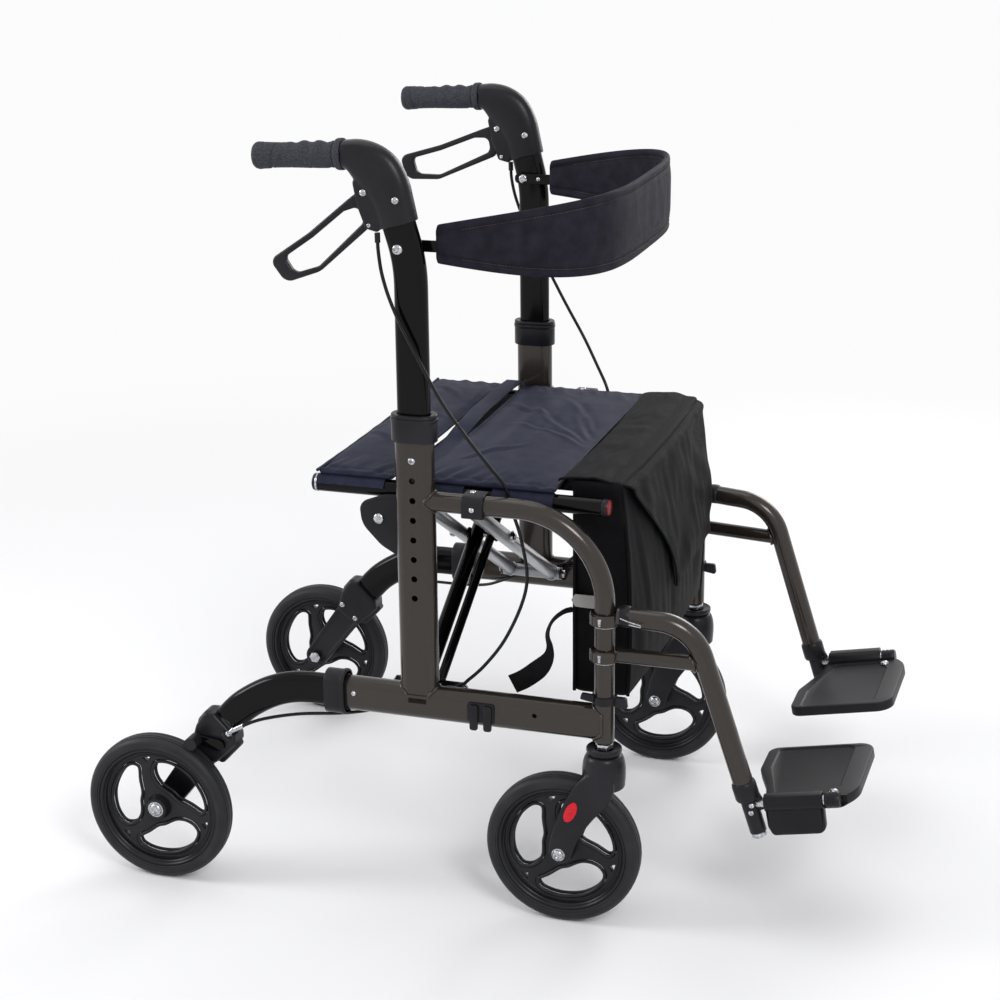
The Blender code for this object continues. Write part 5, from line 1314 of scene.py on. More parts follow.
def brake_cable(side, s):
    """Brake cable from the lever to the clamp, with its ferrules."""
    route = smooth_line([(x, s * y, z) for x, y, z in CABLE], 0.006)
    body = side + "_frame"
    cable = tube("Brake_cable_" + side, route, CABLE_R, 6)
    cable.data.transform(SHIFT)
    cable.data.materials.append(SHEATH)
    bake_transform(cable)
    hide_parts("brake_cable_" + side)
    place(tube("Cable_boot_" + side, route[:3], CABLE_R + 0.0012, 6), "handle_" + side, PLASTIC)
    place(tube("Cable_ferrule_low_" + side, route[-4:], CABLE_R + 0.0009, 6), body, STEEL)


# Footrests

def hanger_lay(s):
    """Function that gives a point of a hanger from its reach and height, toed in."""
    def lay(u, z):
        return Vector((CASTER_X + u * cos(HANGER_TOE), s * (FRAME_Y - u * sin(HANGER_TOE)), z))
    return lay


def hanger_leg(z):
    """Reach of the hanger's sloping leg at a height."""
    return HANGER_KNEE + (HANGER_TOP_Z - 0.006 - z) * tan(HANGER_LEAN)


def hanger(side, s):
    """Bent hanger tube and its stay on two rings, with pins, washers, plug and hairpin."""
    body = "hanger_" + side
    lay = hanger_lay(s)
    foot = (hanger_leg(HANGER_FOOT_Z), HANGER_FOOT_Z)
    path = bend([lay(HANGER_START - 0.003, HANGER_TOP_Z),
                 lay(HANGER_KNEE, HANGER_TOP_Z - 0.006), lay(*foot)],
                HANGER_BEND_R, 32)
    pipe = tube("pipe", path, TUBE_R, 10)
    stay_end = hanger_leg(HANGER_BAR_Z) - 0.004
    stay = bar("stay", lay(HANGER_START - 0.003, HANGER_BAR_Z), lay(stay_end, HANGER_BAR_Z - 0.003),
               0.0095, steps=40)
    rings = []
    for z in (HANGER_TOP_Z - 0.004, HANGER_BAR_Z):
        profile = [(0.0134, -0.007), (0.017, -0.0075), (0.0185, -0.0062), (0.0185, 0.0062),
                   (0.017, 0.0075), (0.0134, 0.007)]
        rings.append(turned("ring", profile, Matrix.Translation((CASTER_X, s * FRAME_Y, z)), 64, True))
    post = bar("post", (CASTER_X, s * FRAME_Y, 0.3), (CASTER_X, s * FRAME_Y, 0.45), 0.0134, 0.0002, 48)
    frame_piece = cut(combined("arms", pipe, stay), post)
    place(combined("Hanger_" + side, frame_piece, *rings), body, BRONZE, "hanger_" + side)
    direction = (lay(1.0, 0.4) - lay(0.0, 0.4)).normalized()
    bead = []
    for k in range(28):
        a = 2 * pi * k / 28
        bead.append(lay(stay_end, HANGER_BAR_Z) + Vector((0.0006, 0.0098 * cos(a) * 1.0, 0.0102 * sin(a)))
                    - direction * (0.0115 - 0.004 * cos(a) ** 2) - Vector((0, 0, 0.003))
                    + direction * sin(a) * -0.003)
    place(weld("Weld_stay_" + side, bead, 0.0019), body, BRONZE)
    plug = turned("Hanger_plug_" + side, [
        (0.0, -0.007), (0.01, -0.007), (0.0128, -0.005), (0.0136, -0.0015), (0.0136, 0.005),
        (0.0129, 0.0066), (0.0, 0.0066)],
        towards(lay(HANGER_START + 0.006, HANGER_TOP_Z), direction), 40)
    place(plug, body, PLASTIC)
    for tag, z in (("top", HANGER_TOP_Z - 0.004), ("low", HANGER_BAR_Z)):
        washer = turned("Ring_washer_%s_%s" % (tag, side), [
            (0.0131, -0.0094), (0.0146, -0.0094), (0.015, -0.009), (0.015, -0.0078), (0.0131, -0.0076)],
            Matrix.Translation((CASTER_X, s * FRAME_Y, z)), 48, True)
        place(washer, body, STEEL)
        face = Vector((CASTER_X - 0.002, s * (FRAME_Y + 0.0178), z))
        place(turned("Ring_pin_%s_%s" % (tag, side), [
            (0, -0.0052), (0.0014, -0.005), (0.0021, -0.004), (0.0021, 0.0022), (0.0027, 0.0026),
            (0.0027, 0.0042), (0.0019, 0.005), (0, 0.0052)], Matrix.Translation(face), 24),
              body, STEEL)
    at = lay(0.024, HANGER_TOP_Z + 0.001) + Vector((0, s * 0.0135, 0))
    pin = bend([at + Vector((-0.002, -s * 0.01, 0.002)), at + Vector((-0.001, s * 0.003, 0.002)),
                at + Vector((0.01, s * 0.004, -0.001)), at + Vector((0.024, s * 0.004, -0.004)),
                at + Vector((0.027, s * 0.003, -0.0075)), at + Vector((0.01, s * 0.003, -0.005))],
               0.0018, 6)
    place(tube("Hairpin_" + side, pin, 0.0008, 4), body, STEEL)


def foot_bracket(side, s):
    """Ferrule, tube with its steel end, the pitched rod, its bolts and the knob."""
    body = "hanger_" + side
    lay = hanger_lay(s)
    top = lay(hanger_leg(HANGER_FOOT_Z), HANGER_FOOT_Z)
    low = lay(hanger_leg(FOOT_TUBE_Z), FOOT_TUBE_Z)
    along = (low - top).normalized()
    leg = bar("leg", top + along * GAP, low - along * 0.006, 0.0105, 0.001, 40)
    length = 0.0212
    ferrule = turned("ferrule", [(0.0, -0.002), (0.0136, -0.002), (0.0146, -0.0008), (0.0152, 0.002),
                                 (0.0152, length - 0.003), (0.014, length), (0.0, length)],
                     towards(top + along * GAP, along), 48)
    ear = plate("ear", capsule((0, 0), (0.02, 0), 0.0085, 0.006, 16), 0.007, "Y", (0, 0, 0), (), 0.0015)
    ear.data.transform(Matrix.Translation(top + along * 0.012 + Vector((0.006, 0, 0)))
                       @ Matrix.Rotation(radians(50), 4, "Y"))
    place(combined("Foot_bracket_" + side, leg, ferrule, ear), body, PLASTIC, "foot_bracket_" + side)
    place(bar("Bracket_end_" + side, low - along * 0.008, low, 0.0098, 0.0014, 40), body, STEEL)
    rod = bar("Foot_rod_" + side, lay(hanger_leg(FOOT_ROD_Z), FOOT_ROD_Z), foot_point(s, 0.098), 0.0065,
              0.0005, 40)
    place(rod, body, STEEL)
    direction = foot_point(s, 1.0) - foot_point(s, 0.0)
    knob = turned("Rod_knob_" + side, [
        (0.0, 0.0002), (0.0088, 0.0002), (0.0098, 0.0012), (0.0098, 0.004), (0.0092, 0.0046),
        (0.0092, 0.006), (0.0098, 0.0066), (0.0098, 0.0095), (0.0092, 0.0101), (0.0092, 0.0115),
        (0.0098, 0.0121), (0.0098, 0.0165), (0.0086, 0.0185), (0.0, 0.019)],
        towards(foot_point(s, 0.0935), direction), 40)
    place(knob, body, PLASTIC)
    out = Vector((0, s, 0))
    for k, down in enumerate((0.002, 0.012)):
        at = lay(hanger_leg(FOOT_ROD_Z) + 0.004, FOOT_ROD_Z) + out * 0.0098 - Vector((0, 0, down - 0.004))
        place(bolt("Bracket_bolt_%d_%s" % (k, side), at, out, 0.0036, 0.0024, k == 0), body, STEEL)


def foot_point(s, u, v=0.0, w=0.0):
    """Point along, across and above the pitched rod."""
    start = hanger_lay(s)(hanger_leg(FOOT_ROD_Z), FOOT_ROD_Z)
    return start + Vector((u * cos(FOOT_PITCH) - w * sin(FOOT_PITCH), -s * v,
                           u * sin(FOOT_PITCH) + w * cos(FOOT_PITCH)))


def footplate(side, s):
    """Footplate with wide bevels round a sunk tread, its flange and the barrel on the rod."""
    start = foot_point(s, 0)
    inner = abs(start.y) - PLATE_INNER_Y
    front = PLATE_REAR + PLATE_LONG
    outline = rounded([(0.016, 0.02, 0.002), (PLATE_REAR + 0.018, 0.052, 0.012),
                       (PLATE_REAR, 0.104, 0.03), (PLATE_REAR, inner, 0.014), (front, inner, 0.022),
                       (front, 0.03, 0.05), (0.112, 0.002, 0.012), (0.016, 0.002, 0.002)], 12)
    slab = plate("slab", outline, PLATE_THICK, "Z", (0, 0, -PLATE_THICK / 2), (), 0.0018)
    def basin(rear, side_in, near, far, deep):
        ring = rounded([(0.026 + rear * 0.2, near, 0.004), (PLATE_REAR + rear, 0.108, 0.02),
                        (PLATE_REAR + rear, inner - side_in, 0.008), (front - far, inner - side_in, 0.012),
                        (front - far, 0.04, 0.018), (0.092, near, 0.006)], 8)
        return [Vector((u, v, deep)) for u, v in ring]
    sink = loft("sink", [basin(0.015, 0.0066, 0.018, 0.026, -0.002),
                         basin(0.0146, 0.0062, 0.018, 0.0256, -0.0018),
                         basin(0.0126, 0.0046, 0.016, 0.0236, 0.0002),
                         basin(0.0126, 0.0046, 0.016, 0.0236, 0.004)])
    u0, u1 = 0.019, 0.092
    clear = plate("clear", rounded([(u1, -0.0112, 0), (u1 + 0.03, -0.0112, 0), (u1 + 0.03, 0.0115, 0),
                                    (u1, 0.0115, 0)]), 0.022, "Z", (0, 0, 0), (), 0.0002)
    slab = cut(slab, sink, clear)
    flange = plate("flange", rounded([
        (u0, 0.002, 0.001), (u0, -0.03, 0.004), (u0 + 0.005, -0.042, 0.006),
        (u1 - 0.002, -0.042, 0.01), (u1, 0.002, 0.001)], 10), 0.014, "Y", (0, 0, 0), (), 0.003)
    ledge = plate("ledge", rounded([(u0 + 0.0008, 0.004, 0.001), (u1 - 0.0008, 0.004, 0.001),
                                    (u1 - 0.0008, 0.0112, 0.001), (u0 + 0.0008, 0.0112, 0.001)], 4),
                  0.013, "Y", (0, -0.0035, 0), (), 0.001)
    barrel = bar("barrel", (u0, 0, 0), (u1, 0, 0), 0.011, 0.0008, 48)
    bore = bar("bore", (u0 - 0.01, 0, 0), (u1 + 0.01, 0, 0), 0.0069, 0.0002, 40)
    ends = cut(combined("ends", flange, ledge, barrel), bore)
    lay = Matrix.Translation(start) @ Matrix.Rotation(-FOOT_PITCH, 4, "Y")
    if s > 0:
        lay = lay @ Matrix.Scale(-1, 4, (0, 1, 0))
    made = combined("Footplate_" + side, slab, ends)
    made.data.transform(lay)
    if s > 0:
        made.data.flip_normals()
    place(made, "footplate_" + side, TREAD, "footplate_" + side)
    dome = turned("Plate_stop_" + side, [(0, 0.0032), (0.003, 0.003), (0.0052, 0.0018), (0.006, 0), (0, 0)],
                  towards(foot_point(s, 0.1, 0.0235, -0.0002), (-sin(FOOT_PITCH), 0, cos(FOOT_PITCH))), 32)
    place(dome, "footplate_" + side, STEEL)


# Cross brace and seat rails

def cross_arm(name, body, s, xs, radii, paint):
    """One leaf of the scissor: sleeve at the low pin, two tubes up to the far seat rail."""
    low = Vector((0, s * BRACE_Y, BRACE_Z))
    high = Vector((0, -s * BRACE_Y, SEAT_RAIL_Z))
    up = (high - low).normalized()
    sleeve = turned("sleeve", [(0.0045, ARM_SLEEVE_X[0]), (0.0082, ARM_SLEEVE_X[0]),
                               (0.009, ARM_SLEEVE_X[0] + 0.0008), (0.009, ARM_SLEEVE_X[1] - 0.0008),
                               (0.0082, ARM_SLEEVE_X[1]), (0.0045, ARM_SLEEVE_X[1])],
                    towards(low, (1, 0, 0)), 40, True)
    pieces = [sleeve]
    middle = (BRACE_Z + SEAT_RAIL_Z) / 2
    for x, r in zip(xs, radii):
        shift = Vector((x, 0, 0))
        leaf = bar("leaf", low + shift + up * 0.0045, high + shift - up * 0.003, r, steps=40)
        bore = bar("bolt_bore", (-0.06, 0, middle), (0.07, 0, middle), 0.0044, 0.0002, 24)
        pin = bar("pin_bore", (-0.06, low.y, low.z), (0.07, low.y, low.z), 0.0044, 0.0002, 24)
        pieces.append(cut(leaf, bore, pin))
    place(combined(name.title(), *pieces), body, paint, name)
    for k, (x, r) in enumerate(zip(xs, radii)):
        for tag, end, clear in (("low", low, 0.009), ("high", high, SEAT_RAIL_R)):
            way = up if tag == "low" else -up
            side_way = Vector((0, -way.z, way.y))
            bead = []
            for j in range(28):
                a = 2 * pi * j / 28
                across = min(0.999, r * abs(sin(a)) / clear)
                bead.append(end + Vector((x, 0, 0)) + Vector((r * cos(a), 0, 0)) * 1.02
                            + side_way * r * sin(a) * 1.02 + way * (clear * sqrt(1 - across ** 2) + 0.0006))
            place(weld("Weld_%s_%d_%s" % (name, k, tag), bead, 0.0016), body, paint)


def cross_bolt():
    """Bolt, nut and spacers that join the two leaves."""
    z = (BRACE_Z + SEAT_RAIL_Z) / 2
    rear, front = OUTER_ARM_X[0] - 0.011, OUTER_ARM_X[1] + 0.011
    shaft = bar("shaft", (rear - 0.006, 0, z), (front + 0.003, 0, z), 0.0039, 0.0006, 24)
    head = bolt("head", (front - 0.0008, 0, z), (1, 0, 0), 0.0076, 0.0052, True, 0.009)
    nut = hex_nut("nut", (rear + 0.0008, 0, z), (-1, 0, 0), 0.0076, 0.0052)
    place(combined("Cross_bolt", shaft, head, nut), "outer_arm", STEEL, "cross_bolt")
    for k, (a, b) in enumerate(((-0.0188, -0.0162), (0.0202, 0.0228))):
        ring = turned("Brace_spacer_%d" % k, [(0.0045, a), (0.0078, a), (0.0082, (a + b) / 2),
                                              (0.0078, b), (0.0045, b)], towards((0, 0, z), (1, 0, 0)),
                      32, True)
        place(ring, "outer_arm", PLASTIC)


def seat_rail(side, s, body):
    """Seat rail with its rear plug and the ringed cap at its front end."""
    y = s * BRACE_Y
    x0, x1 = SEAT_RAIL_X
    lay = towards((0, y, SEAT_RAIL_Z), (1, 0, 0))
    rail = turned("Seat_rail_" + side, [
        (0.0, x0 + 0.002), (SEAT_RAIL_R - 0.001, x0 + 0.002), (SEAT_RAIL_R, x0 + 0.003),
        (SEAT_RAIL_R, x1 - 0.011), (SEAT_RAIL_R - 0.001, x1 - 0.01), (0.0, x1 - 0.01)], lay, 56)
    place(rail, body, BLACK_PAINT, "seat_rail_" + side)
    plug = turned("Rail_plug_" + side, [
        (0.0, x0 - 0.002), (0.008, x0 - 0.0018), (0.0104, x0 - 0.0006), (0.0112, x0 + 0.0016),
        (0.0112, x0 + 0.005), (0.0, x0 + 0.005)], lay, 48)
    place(plug, body, PLASTIC)
    band = turned("Rail_band_" + side, [
        (0.01, x0 + 0.0034), (0.0114, x0 + 0.0034), (0.0116, x0 + 0.0038), (0.0116, x0 + 0.0052),
        (0.0112, x0 + 0.0057), (0.01, x0 + 0.0057)], lay, 48, True)
    place(band, body, STEEL)
    nose = turned("Rail_nose_" + side, [
        (0.0, x1 - 0.0105), (0.01, x1 - 0.0105), (0.0106, x1 - 0.0095), (0.0106, x1 - 0.0045),
        (0.0098, x1 - 0.003), (0.0, x1 - 0.0028)], lay, 48)
    place(nose, body, PLASTIC)
    cap = turned("Rail_cap_" + side, [
        (0.0, x1 - 0.0032), (0.0094, x1 - 0.0032), (0.01, x1 - 0.0022), (0.0096, x1 - 0.0008),
        (0.007, x1 + 0.0003), (0.0, x1 + 0.0006)], lay, 48)
    place(cap, body, RED_CAP)


# Sewn goods

def swollen(obj, cell, pressure, cap, seam, floor=None):
    """Blow a closed cloth skin up a little with the cloth solver, held where seam is 1."""
    name = obj.name
    remesh = obj.modifiers.new("even skin", "REMESH")
    remesh.mode = "VOXEL"
    remesh.voxel_size = cell
    obj = applied(obj)
    obj.name = name
    rest = np.array([tuple(v.co) for v in obj.data.vertices])
    held = obj.vertex_groups.new(name="seam")
    for vert in obj.data.vertices:
        held.add([vert.index], seam(vert.co), "REPLACE")
    cloth_mod = obj.modifiers.new("cloth", "CLOTH")
    settings = cloth_mod.settings
    settings.quality = 5
    settings.mass = 0.25
    settings.tension_stiffness = 18
    settings.compression_stiffness = 10
    settings.shear_stiffness = 6
    settings.bending_stiffness = 0.6
    settings.vertex_group_mass = "seam"
    settings.use_pressure = True
    settings.uniform_pressure_force = pressure
    settings.effector_weights.gravity = 0
    cloth_mod.point_cache.frame_start = 1
    cloth_mod.point_cache.frame_end = 20
    scene = bpy.context.scene
    for number in range(1, 21):
        scene.frame_set(number)
    graph = bpy.context.evaluated_depsgraph_get()
    moved = obj.evaluated_get(graph).data
    now = np.array([tuple(v.co) for v in moved.vertices])
    scene.frame_set(1)
    obj.modifiers.remove(cloth_mod)
    obj.vertex_groups.clear()
    step = now - rest
    far = np.linalg.norm(step, axis=1, keepdims=True)
    step *= np.minimum(1.0, cap / np.maximum(far, 1e-9))
    for vert, home, shift in zip(obj.data.vertices, rest, step):
        here = Vector(home + shift)
        if floor:
            here = floor(Vector(home), here)
        vert.co = here
    return obj


def pad_edge(y, edge, inward):
    """Where a seat panel's hem lies in x: drawn in a little between the rails."""
    return edge + inward * (0.0035 + 0.004 * (1 - (y / 0.229) ** 2))


PAD_CREASES = (
    ((0.164, -0.05), (0.044, 0.1)), ((0.16, -0.056), (0.034, 0.018)), ((0.162, -0.04), (0.1, 0.122)),
    ((0.15, 0.01), (0.07, 0.16)), ((0.02, -0.15), (0.09, -0.08)), ((0.01, 0.12), (0.08, 0.06)),
    ((-0.13, -0.06), (-0.058, -0.14)), ((-0.134, 0.08), (-0.05, 0.02)), ((-0.12, 0.18), (-0.06, 0.1)))


def crease(x, y):
    """Height of the sharp creases pulled across the seat panels, fading along each."""
    height = 0.0
    for k, (start, end) in enumerate(PAD_CREASES):
        p, q = Vector(start), Vector(end)
        along = (Vector((x, y)) - p).dot(q - p) / (q - p).length_squared
        if 0 < along < 1:
            bow = 0.006 * sin(pi * along) * (1 if k % 2 else -1)
            off = (Vector((x, y)) - p).cross(q - p) / (q - p).length - bow
            fade = sin(pi * along) ** 0.6 * (1 - 0.4 * along)
            height += fade * (exp(-(off / 0.0045) ** 2) - 0.7 * exp(-((off - 0.008) / 0.005) ** 2))
    return height


def seat_pad(node, xs, seed):
    """Seat panel: padded nylon, flat on its rails, slack and wrinkled between them."""
    x0, x1 = xs
    z0 = SEAT_RAIL_Z + SEAT_RAIL_R + GAP
    bm = bmesh.new()
    bmesh.ops.create_grid(bm, x_segments=16, y_segments=48, size=1)
    grown = bmesh.ops.extrude_face_region(bm, geom=list(bm.faces))
    top = {g for g in grown["geom"] if isinstance(g, bmesh.types.BMVert)}
    for vert in bm.verts:
        u, v = vert.co.x, vert.co.y
        half = (x1 - x0) / 2 - 0.0035 - 0.004 * (1 - v ** 2)
        x = (x0 + x1) / 2 + u * half
        y = v * (PAD_HALF_Y - PAD_HEM)
        swell = (1 - u ** 4) * (1 - v ** 6)
        z = z0 + 0.0006 if vert not in top else z0 + 0.0075 + 0.005 * swell
        vert.co = (x, y, z)
    skin = from_bmesh(node.title(), bm)
    padded = swollen(skin, 0.0045, 4.0, 0.006,
                     lambda p: 1 - smoothstep(0.0045, 0.012, min(
                         p.x - pad_edge(p.y, x0, 1), pad_edge(p.y, x1, -1) - p.x,
                         PAD_HALF_Y - PAD_HEM - abs(p.y))),
                     lambda home, here: Vector((here.x, here.y, max(here.z, z0 - 0.006
                                                if abs(here.y) < 0.2 else z0))))
    lift = z0 + 0.006
    for vert in padded.data.vertices:
        x, y, z = vert.co
        if z < lift:
            continue
        across = (x - x0) / (x1 - x0)
        inside = smoothstep(0, 0.12, across) * smoothstep(0, 0.12, 1 - across)
        rail = smoothstep(0.165, 0.222, abs(y))
        long_fold = noise.noise(Vector((x * 26 + seed, y * 5.5, seed))) ** 2 * 2
        slack = noise.noise(Vector((x * 9 + seed, y * 13, 3 + seed)))
        pucker = noise.noise(Vector((x * 85 + y * 34 * (1 if y > 0 else -1), y * 9, seed)))
        cross = noise.noise(Vector((x * 7 - y * 10, x * 46 + y * 9, 6 + seed)))
        hem = min(across, 1 - across) * (x1 - x0)
        seam = exp(-((hem - 0.0125) / 0.0016) ** 2) + exp(-((PAD_HALF_Y - 0.014 - abs(y)) / 0.0016) ** 2)
        vert.co.z += (0.0034 * long_fold + 0.0022 * slack + 0.0014 * cross
                      + 0.0026 * crease(x, y)) * inside * (1 - rail)
        vert.co.z += 0.0052 * pucker * rail * smoothstep(PAD_HALF_Y + 0.001, PAD_HALF_Y - 0.012, abs(y))
        vert.co.z -= 0.0016 * min(1.0, seam)
    smooth_twice(padded)
    place(padded, SLUNG, SEAT_CLOTH, node)
    for tag, edge, inward in (("rear", x0, 1), ("front", x1, -1)):
        line = []
        for y in np.linspace(-PAD_HALF_Y + 0.0035, PAD_HALF_Y - 0.0035, 80):
            x = pad_edge(y, edge, inward) + inward * 0.0006
            line.append((x, y, z0 + 0.0062 + 0.0006 * noise.noise(Vector((seed, y * 40, 0)))))
        piping = tube("Piping_%s_%s" % (tag, node), line, 0.0021, 4)
        place(piping, SLUNG, SEAT_CLOTH)


def smooth_twice(obj):
    """One subdivision, shaded smooth."""
    finer = obj.modifiers.new("subdivide", "SUBSURF")
    finer.levels = 1
    finer.render_levels = 1
    graph = bpy.context.evaluated_depsgraph_get()
    mesh = bpy.data.meshes.new_from_object(obj.evaluated_get(graph))
    obj.modifiers.clear()
    obj.data = mesh
    obj.data.shade_smooth()


def pad_sleeves():
    """Hems of the panels wrapped down the outside of each seat rail, clear of clip and post."""
    for side, s in SIDES:
        for tag, start, end, sweep in (("back", -0.137, -0.049, 84), ("rear", -0.008, 0.054, 150),
                                       ("front", 0.091, 0.169, 150)):
            rings = []
            for x in np.linspace(start, end, int((end - start) / 0.0015)):
                ring = []
                for r, way in ((0.0126, 1), (0.0114, -1)):
                    for k in list(range(15))[::way]:
                        a = radians(96 - sweep * k / 14)
                        pucker = 0.0009 * noise.noise(Vector((x * 130 + 12 * a, a * 1.5, s)))
                        reach = r + pucker + 0.001 * smoothstep(11, 14, k)
                        y, z = BRACE_Y + reach * cos(a), SEAT_RAIL_Z + reach * sin(a)
                        ring.append(Vector((x, s * y, z)))
                rings.append(ring)
            sleeve = loft("Pad_sleeve_%s_%s" % (tag, side), rings, 60)
            place(sleeve, "outer_arm" if side == "right" else "inner_arm", SEAT_CLOTH)


def fold_strap():
    """Lifting strap across the gap between the seat panels, and black webs under that gap and the gap
    before the bag, as painted shade.
    """
    # Each web is a black sheet that stands in for the shade seen through a gap: painted shade between the
    # panels, and between the front panel and the bag
    for tag, middle, half, start, end in (("Seat_web", -0.023, 0.0185, -0.198, 0.206),
                                          ("Bag_web", 0.1665, 0.017, -0.192, 0.206)):
        rings = []
        for y in np.linspace(start, end, 60):
            sag = 0.0012 * noise.noise(Vector((2.0, y * 24, 5.0 + middle)))
            rings.append([Vector((middle + u, y, SEAT_RAIL_Z + SEAT_RAIL_R - 0.0024 + w + sag))
                          for u, w in oblong(half, 0.0008, 0.0006, 3)])
        web = loft(tag, rings, 60)
        place(web, SLUNG, BAG_CLOTH)
    route = smooth_line([(-0.023, -0.15, 0.556), (-0.023, -0.1, 0.556), (-0.0225, -0.05, 0.557),
                         (-0.02, -0.022, 0.564), (-0.0185, 0.01, 0.569), (-0.021, 0.06, 0.57),
                         (-0.0225, 0.11, 0.569), (-0.0225, 0.16, 0.57), (-0.0225, 0.226, 0.568)], 0.004)
    rings = [[Vector((p.x + u, p.y, p.z + w + 0.0016 * cos(u * 110)))
              for u, w in oblong(0.0125, 0.0011, 0.0009, 3)] for p in route]
    place(loft("Fold_strap", rings, 60), SLUNG, SEAT_CLOTH)


def bag_front(v, w):
    """Front face of the bag in x, at v across it and w up it, each from -1 to 1."""
    fullness = 0.74 + 0.26 * cos(0.9 * (w + 0.35))
    return BAG_X[0] + (BAG_X[1] - BAG_X[0]) * fullness + 0.006 * (1 - v ** 2)


def bag_height(w):
    """Height at w up the bag, from -1 to 1."""
    return (BAG_Z[0] + BAG_Z[1]) / 2 + w * (BAG_Z[1] - BAG_Z[0]) / 2


def bag_seam(p):
    """1 on the bag's sewn edges, 0 a few centimetres in from them."""
    w = (p.z - BAG_Z[0]) / (BAG_Z[1] - BAG_Z[0]) * 2 - 1
    front = bag_front(min(1, abs(p.y) / BAG_HALF), w) - p.x
    from_faces = sorted((p.x - BAG_X[0], front, BAG_HALF - abs(p.y), BAG_Z[1] - p.z, p.z - BAG_Z[0]))
    return 1 - smoothstep(0.007, 0.022, from_faces[1])


def bag():
    """Hanging bag: sagging shell with boxed ends, corner bindings and folds."""
    bm = bmesh.new()
    bmesh.ops.create_cube(bm, size=2)
    bmesh.ops.subdivide_edges(bm, edges=list(bm.edges), cuts=22, use_grid_fill=True)
    for vert in bm.verts:
        u, v, w = vert.co
        x = BAG_X[0] + 0.002 + (bag_front(v, w) - 0.003 - BAG_X[0]) * (1 + u) / 2
        half = BRACE_Y - SEAT_RAIL_R - 0.0015 if w > 0.62 else BAG_HALF
        half = half - 0.002 - 0.004 * (1 - u ** 2) * (1 - w ** 2)
        vert.co = (x, v * half, bag_height(w) * 1.0)
    shell = from_bmesh("Bag", bm, 60)
    shell = swollen(shell, 0.006, 3.0, 0.007, bag_seam)
    for vert in shell.data.vertices:
        x, y, z = vert.co
        w = (z - BAG_Z[0]) / (BAG_Z[1] - BAG_Z[0])
        fold = noise.noise(Vector((x * 9, y * 21, z * 5)))
        deep = noise.noise(Vector((x * 42, y * 8 + 3, z * 7)))
        amount = smoothstep(0.02, 0.25, w) * smoothstep(0.0, 0.12, 1 - w)
        normal = Vector(vert.normal)
        if abs(y) > 0.19:
            ends = smoothstep(0.0, 0.018, x - BAG_X[0]) * smoothstep(0.0, 0.018, BAG_X[1] - x)
            crease = noise.noise(Vector((x * 95 + z * 14, 3.0, z * 6)))
            vert.co += Vector((0, normal.y, 0)) * (0.0045 * deep + 0.0028 * crease) * amount * ends
        else:
            crease = noise.noise(Vector((1.0, y * 62 + z * 16, z * 7)))
            vert.co += Vector((normal.x, 0, 0)) * (0.005 * fold + 0.0022 * crease) * amount
    smooth_twice(shell)
    place(shell, SLUNG, BAG_CLOTH, "bag")
    tag = plate("Bag_tag", rounded([(0.1855, 0.4165, 0.002), (0.1905, 0.408, 0.003), (0.219, 0.4075, 0.002),
                                    (0.219, 0.4245, 0.002), (0.1905, 0.4245, 0.003)], 6),
                0.0016, "Y", (0, -BAG_HALF - 0.0036, 0), (), 0.0005)
    place(tag, SLUNG, PALE)
    for s in (-1, 1):
        side = "right" if s < 0 else "left"
        for tag, inset in (("front", -0.002), ("rear", 0.004)):
            line = []
            for w in np.linspace(-0.975, 0.95, 60):
                x = bag_front(s, w) + inset if tag == "front" else BAG_X[0] + inset
                y = s * (BAG_HALF - 0.0028 + 0.0008 * noise.noise(Vector((x * 30, w * 6, s))))
                line.append((x, y, bag_height(w)))
            place(tube("Bag_binding_%s_%s" % (tag, side), line, 0.0023, 4), SLUNG, BAG_CLOTH)


